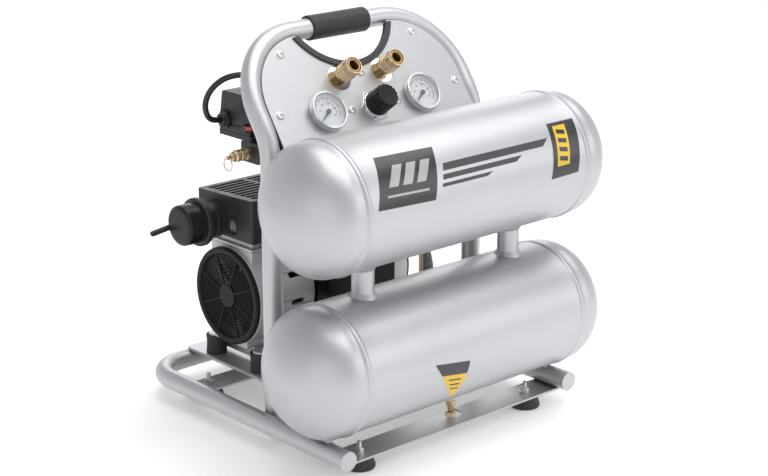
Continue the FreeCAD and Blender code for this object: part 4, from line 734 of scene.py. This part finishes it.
def rubber_mount(x, y):
    points = [(47.65, 0), (47.65, 13.6, 0.6), (49.4, 14.0, 0.6), (52.5, 13.7, 1), (60.4, 12.9, 4),
              (68.4, 13.7, 1),
              (71.6, 14.0, 0.6), (73.25, 13.6, 0.6), (73.25, 0)]
    return lathe("mount", points, RUBBER, frame_at(at(x, y, 0), Z), segments=80)


mounts = joined(*[rubber_mount(PUMP_X + a * 115.6, PUMP_Y + b * 47.5) for a in (-1, 1) for b in (-1, 1)])
mounts.name = "mount_set"
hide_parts("rubber_mounts")

# ---- safety valve ----------------------------------------------------------------------------
VALVE = at(-140, 192, 353)
valve = lathe("valve_barrel", [(8.6, 0), (8.6, 6.6, 0.3), (10.4, 6.6, 0.3), (11, 7.5, 0.4), (16.5, 7.5, 0.4),
                               (17, 6.8, 0.2), (18.2, 6.8, 0.2), (18.7, 7.5, 0.4), (23.6, 7.5, 0.6),
                               (25, 6.2, 0.5),
                               (25.8, 5.8, 0.3), (29.4, 5.8, 0.5), (30, 5.0, 0.3), (30, 2.6)],
              BRASS, frame_at(VALVE, -X, Y), segments=96)
valve_hex = prism("valve_hex", hexagon(14), 8.8, BRASS, frame_at(VALVE, -X, Y), bevel=0.5)
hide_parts("safety_valve_body")
ring_points = [(-175, 192 + 8.2 * math.sin(a), 353 - 8.2 + 8.2 * math.cos(a))
               for a in [math.radians(30 * k) for k in range(12)]]
pull_ring = line("valve_pull_ring", [(x, 192 + (y - 192) * 1.03, 344.8 + (z - 344.8) * 1.03)
                                     for x, y, z in ring_points], 0.9, ZINC, "valve_ring", cyclic=True)
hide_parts("safety_valve_ring")

# ---- switch lever ----------------------------------------------------------------------------
LEVER_REST = math.radians(80)          # from upright towards the operator
lever_axis = frame_at(at(-140, 198.5, 383.5), -X, (0, -math.sin(LEVER_REST), math.cos(LEVER_REST)))
boss = lathe("lever_boss", [(-8, 0), (-8, 2.9, 0.3), (0.3, 2.9, 0.1), (0.4, 5.4, 0.3), (4.0, 5.4, 0.7),
                            (4.8, 4.2, 0.5),
                            (4.8, 0)], PLASTIC, lever_axis, "lever", segments=64)
paddle_outline = [(3.5, -2.5), (15.6, -2.4), (16.8, -1.2), (16.8, 1.2), (15.6, 2.4), (3.5, 2.5)]
paddle = prism("lever_paddle", paddle_outline, 3.2, RED, lever_axis @ Matrix.Translation((0, 0, 1.6)),
               "lever", bevel=0.5)
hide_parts("switch_lever")

# ---- air filter ------------------------------------------------------------------------------
SHROUD_FACE = -128.0
filter_axis = frame_at(at(SHROUD_FACE, 286.4, 245), -X, Y)
neck = lathe("filter_neck", [(0.02, 25.4), (1.2, 25.4, 0.4), (1.4, 24.6, 0.2), (8, 24.6, 0.4),
                             (8.6, 25.4, 0.4),
                             (10.4, 25.4, 0.4), (11, 24.6, 0.4), (20, 24.4, 1), (22, 27, 1.5),
                             (22.6, 31.2, 0.8),
                             (24, 32, 0.8), (29.5, 32, 0.8), (31, 31, 0.8), (31.02, 20)], PLASTIC,
                             filter_axis,
             segments=160)
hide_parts("air_filter")


cap = lathe("filter_dome", [(31.05, 20), (31.05, 27, 0.3), (33.4, 27, 0.3), (33.8, 26.4, 0.2),
                            (34.6, 26.4, 0.2),
                            (35, 27, 0.3), (54.5, 26.6, 4.5), (57, 22.5, 3), (57, 0)], GLOSS, filter_axis,
                            segments=160)
stub = lathe("filter_stub", [(0, 2.2), (0, 3.8, 0.2), (36.5, 3.8, 0.8), (39, 3.0, 1.0), (39, 2.0, 0.3),
                             (28, 2.0)],
             PLASTIC, frame_at(at(SHROUD_FACE - 40, 286.4 + 26, 239), (-0.96, 0.18, -0.21)), segments=40)
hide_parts("filter_cap")

# ---- fan guards ------------------------------------------------------------------------------
def fan_guard(side, sign):
    """Round guard: broad rim, fine rings set back from it, eight thin spokes and a solid middle."""
    matrix = frame_at(at(PUMP_X + sign * 128, PUMP_Y, PUMP_Z), X * sign, Y)
    parts = [lathe("guard_rim", [(0.02, 56.5), (0.02, 65.5, 0.3), (4.4, 65.5, 1.2), (6, 63.6, 1),
                                 (6, 59.4, 1),
                                 (4.8, 57.4, 0.6), (3, 56.5, 0.4), (0.02, 56.5)], GUARD, matrix,
                                 segments=144),
             lathe("guard_hub", [(1.4, 0), (1.4, 16, 0.3), (4.1, 16, 0.8), (4.6, 14.6, 0.4),
                                 (4.6, 3.4, 0.2), (4.2, 3, 0.2),
                                 (4.2, 0)], GUARD, matrix, segments=96)]
    for k in range(11):
        r = 18.6 + 3.5 * k
        parts.append(lathe("guard_ring", [(1.4, r), (1.4, r + 1.7, 0.3), (3.3, r + 1.5, 0.3),
                                          (3.3, r + 0.2, 0.3),
                                          (1.4, r)], GUARD, matrix, segments=96))
    for k in range(8):
        turn = Matrix.Rotation(math.radians(22.5 + 45 * k), 4, "Z")
        outline = [(14, -0.9), (58, -0.9), (58, 0.9), (14, 0.9)]
        spoke = prism("guard_spoke", outline, 2.3, GUARD, matrix @ turn @ Matrix.Translation((0, 0, 1.9)),
                      bevel=0.3)
        apply_modifiers(spoke)
        parts.append(spoke)
    guard = joined(*parts)
    guard.name = "fan_guard_" + side
    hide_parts("fan_cover_" + side)


fan_guard("left", -1)
fan_guard("right", 1)

# ---- drain -----------------------------------------------------------------------------------
drain_axis = frame_at(at(24, -2, 0), Z)
drain_stem = lathe("drain_stem", [(7, 0), (7, 2.5, 0.2), (21.5, 2.55, 0.2), (22, 4.6, 0.3), (29.5, 4.6, 0.3),
                                  (30, 5.0, 0.3), (36, 5.0)], BRASS, drain_axis, segments=64)
drain_hex = prism("drain_hex", hexagon(12), 6, BRASS, frame_at(at(24, -2, 30), Z), bevel=0.4)
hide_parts("drain_valve")


def coarse_knurl(height, angle, radius):
    return radius + (0.3 * math.cos(angle * 22) if radius > 6 else 0)


drain_ring = lathe("drain_thumb", [(6, 2.7), (6, 6.0, 0.4), (7, 6.45, 0.4), (20, 6.45, 0.4), (21, 5.9, 0.4),
                                   (21, 2.7)],
                   BRASS, drain_axis, "drain_screw", segments=176, wave=coarse_knurl)
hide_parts("drain_knob")

# ---- CAD nodes that are shown as they are -------------------------------------------------------
SHOWN = {
    "tank_link_pipes": (SILVER, 0), "tank_brackets": (FRAME, 0.8), "base_rails": (FRAME, 0),
    "hoop_frame": (FRAME, 0),
    "base_crossmembers": (FRAME, 0.4), "motor_plate": (FRAME, 0.5), "control_panel": (FRAME, 0.35),
    "panel_edge_trim": (TRIM, 0.9), "gauge_needle_left": (INK, 0), "gauge_needle_right": (INK, 0),
    "regulator_spring": (STEEL, 0), "manifold": (PLASTIC, 0.5),
    "safety_valve_stem": (BRASS, 0), "pressure_switch_base": (PLASTIC, 0.6),
    "pressure_switch_cover": (PLASTIC, 0.9),
    "cable_glands": (PLASTIC, 0.4), "hose_ends": (ZINC, 0.4), "check_valve": (BRASS, 0.4),
    "unloader_tube": (BRASS, 0), "crankcase_left": (CAST, 0.7), "crankcase_right": (CAST, 0.7),
    "bearings": (STEEL, 0.3),
    "stator": (LAMINATION, 0), "windings": (COPPER, 0.8), "crank_rotor": (STEEL, 0.3),
    "cylinders": (CAST, 0.8),
    "cylinder_heads": (CAST, 0.6), "piston_left": (STEEL, 0.3), "piston_right": (STEEL, 0.3),
    "fans": (GUARD, 0.3),
    "shroud": (PLASTIC, 0.8),
    "pump_feet": (FRAME, 0.4), "capacitor_box": (PLASTIC, 0.6), "reset_button": (RED, 0.3),
}
for name, (material, bevel) in SHOWN.items():
    node = NODES[name]
    node.data.materials.clear()
    node.data.materials.append(material)
    if bevel:
        add_bevel(node, bevel * MM, weld=True)

# ---- floor, lights and world ---------------------------------------------------------------------
FLOOR_RADIUS = 14                      # metres
FLOOR_DROP = 0.0005                    # metres below the feet, so that they do not share a plane
FLOOR_GLOW = 0.24                      # lifts the floor towards the white background
HORIZON_GREY = (0.93, 0.935, 0.95)
ZENITH_GREY = (0.36, 0.37, 0.39)
LIGHT_TARGET = (0, 0, 0.26)            # metres, about the middle of the machine

FLOOR = surface("floor", (0.9, 0.9, 0.9), 0, 0.6, mottle=0.004, mottle_scale=0.5, grain=0.02,
                grain_scale=200, painted_shade=0)
floor_shader = FLOOR.node_tree.nodes["Principled BSDF"]
floor_shader.inputs["Emission Color"].default_value = (1, 1, 1, 1)
floor_shader.inputs["Emission Strength"].default_value = FLOOR_GLOW
bpy.ops.mesh.primitive_circle_add(vertices=128, radius=FLOOR_RADIUS, fill_type="NGON",
                                   location=(0, 0, -FLOOR_DROP))
floor = bpy.context.object
floor.name = "floor"
floor.data.materials.append(FLOOR)


def area_light(name, place, width, height, power):
    """A soft box aimed at the machine: place and sizes in metres, power in watts."""
    data = bpy.data.lights.new(name, "AREA")
    data.shape = "RECTANGLE"
    data.size = width
    data.size_y = height
    data.energy = power
    obj = bpy.data.objects.new(name, data)
    bpy.context.scene.collection.objects.link(obj)
    obj.location = place
    obj.rotation_euler = (Vector(LIGHT_TARGET) - Vector(place)).to_track_quat("-Z", "Y").to_euler()
    return obj


area_light("overhead", (0.6, -0.4, 3.0), 3.6, 3.4, power=82)
area_light("key", (1.9, -2.7, 1.3), 1.8, 1.6, power=12)
area_light("left_fill", (-2.8, -1.4, 0.9), 2.2, 1.6, power=4)
area_light("rear_rim", (2.1, 2.6, 1.5), 2.0, 1.2, power=13)

world = bpy.data.worlds.new("studio")
bpy.context.scene.world = world
world.use_nodes = True
tree = world.node_tree
background = tree.nodes["Background"]
background.inputs["Strength"].default_value = 1.0
direction = tree.nodes.new("ShaderNodeTexCoord").outputs["Generated"]
split = tree.nodes.new("ShaderNodeSeparateXYZ")
tree.links.new(direction, split.inputs[0])
rise = tree.nodes.new("ShaderNodeMapRange")
rise.inputs["From Min"].default_value = -0.1
rise.inputs["From Max"].default_value = 0.9
rise.inputs["To Min"].default_value = 0.0
rise.inputs["To Max"].default_value = 1.0
tree.links.new(split.outputs["Z"], rise.inputs["Value"])
sky = blend_colours(tree, rise.outputs["Result"], HORIZON_GREY, ZENITH_GREY)
tree.links.new(sky, background.inputs["Color"])

scene = bpy.context.scene
scene.view_settings.view_transform = "Standard"
scene.view_settings.look = "None"
scene.view_settings.exposure = 0.0
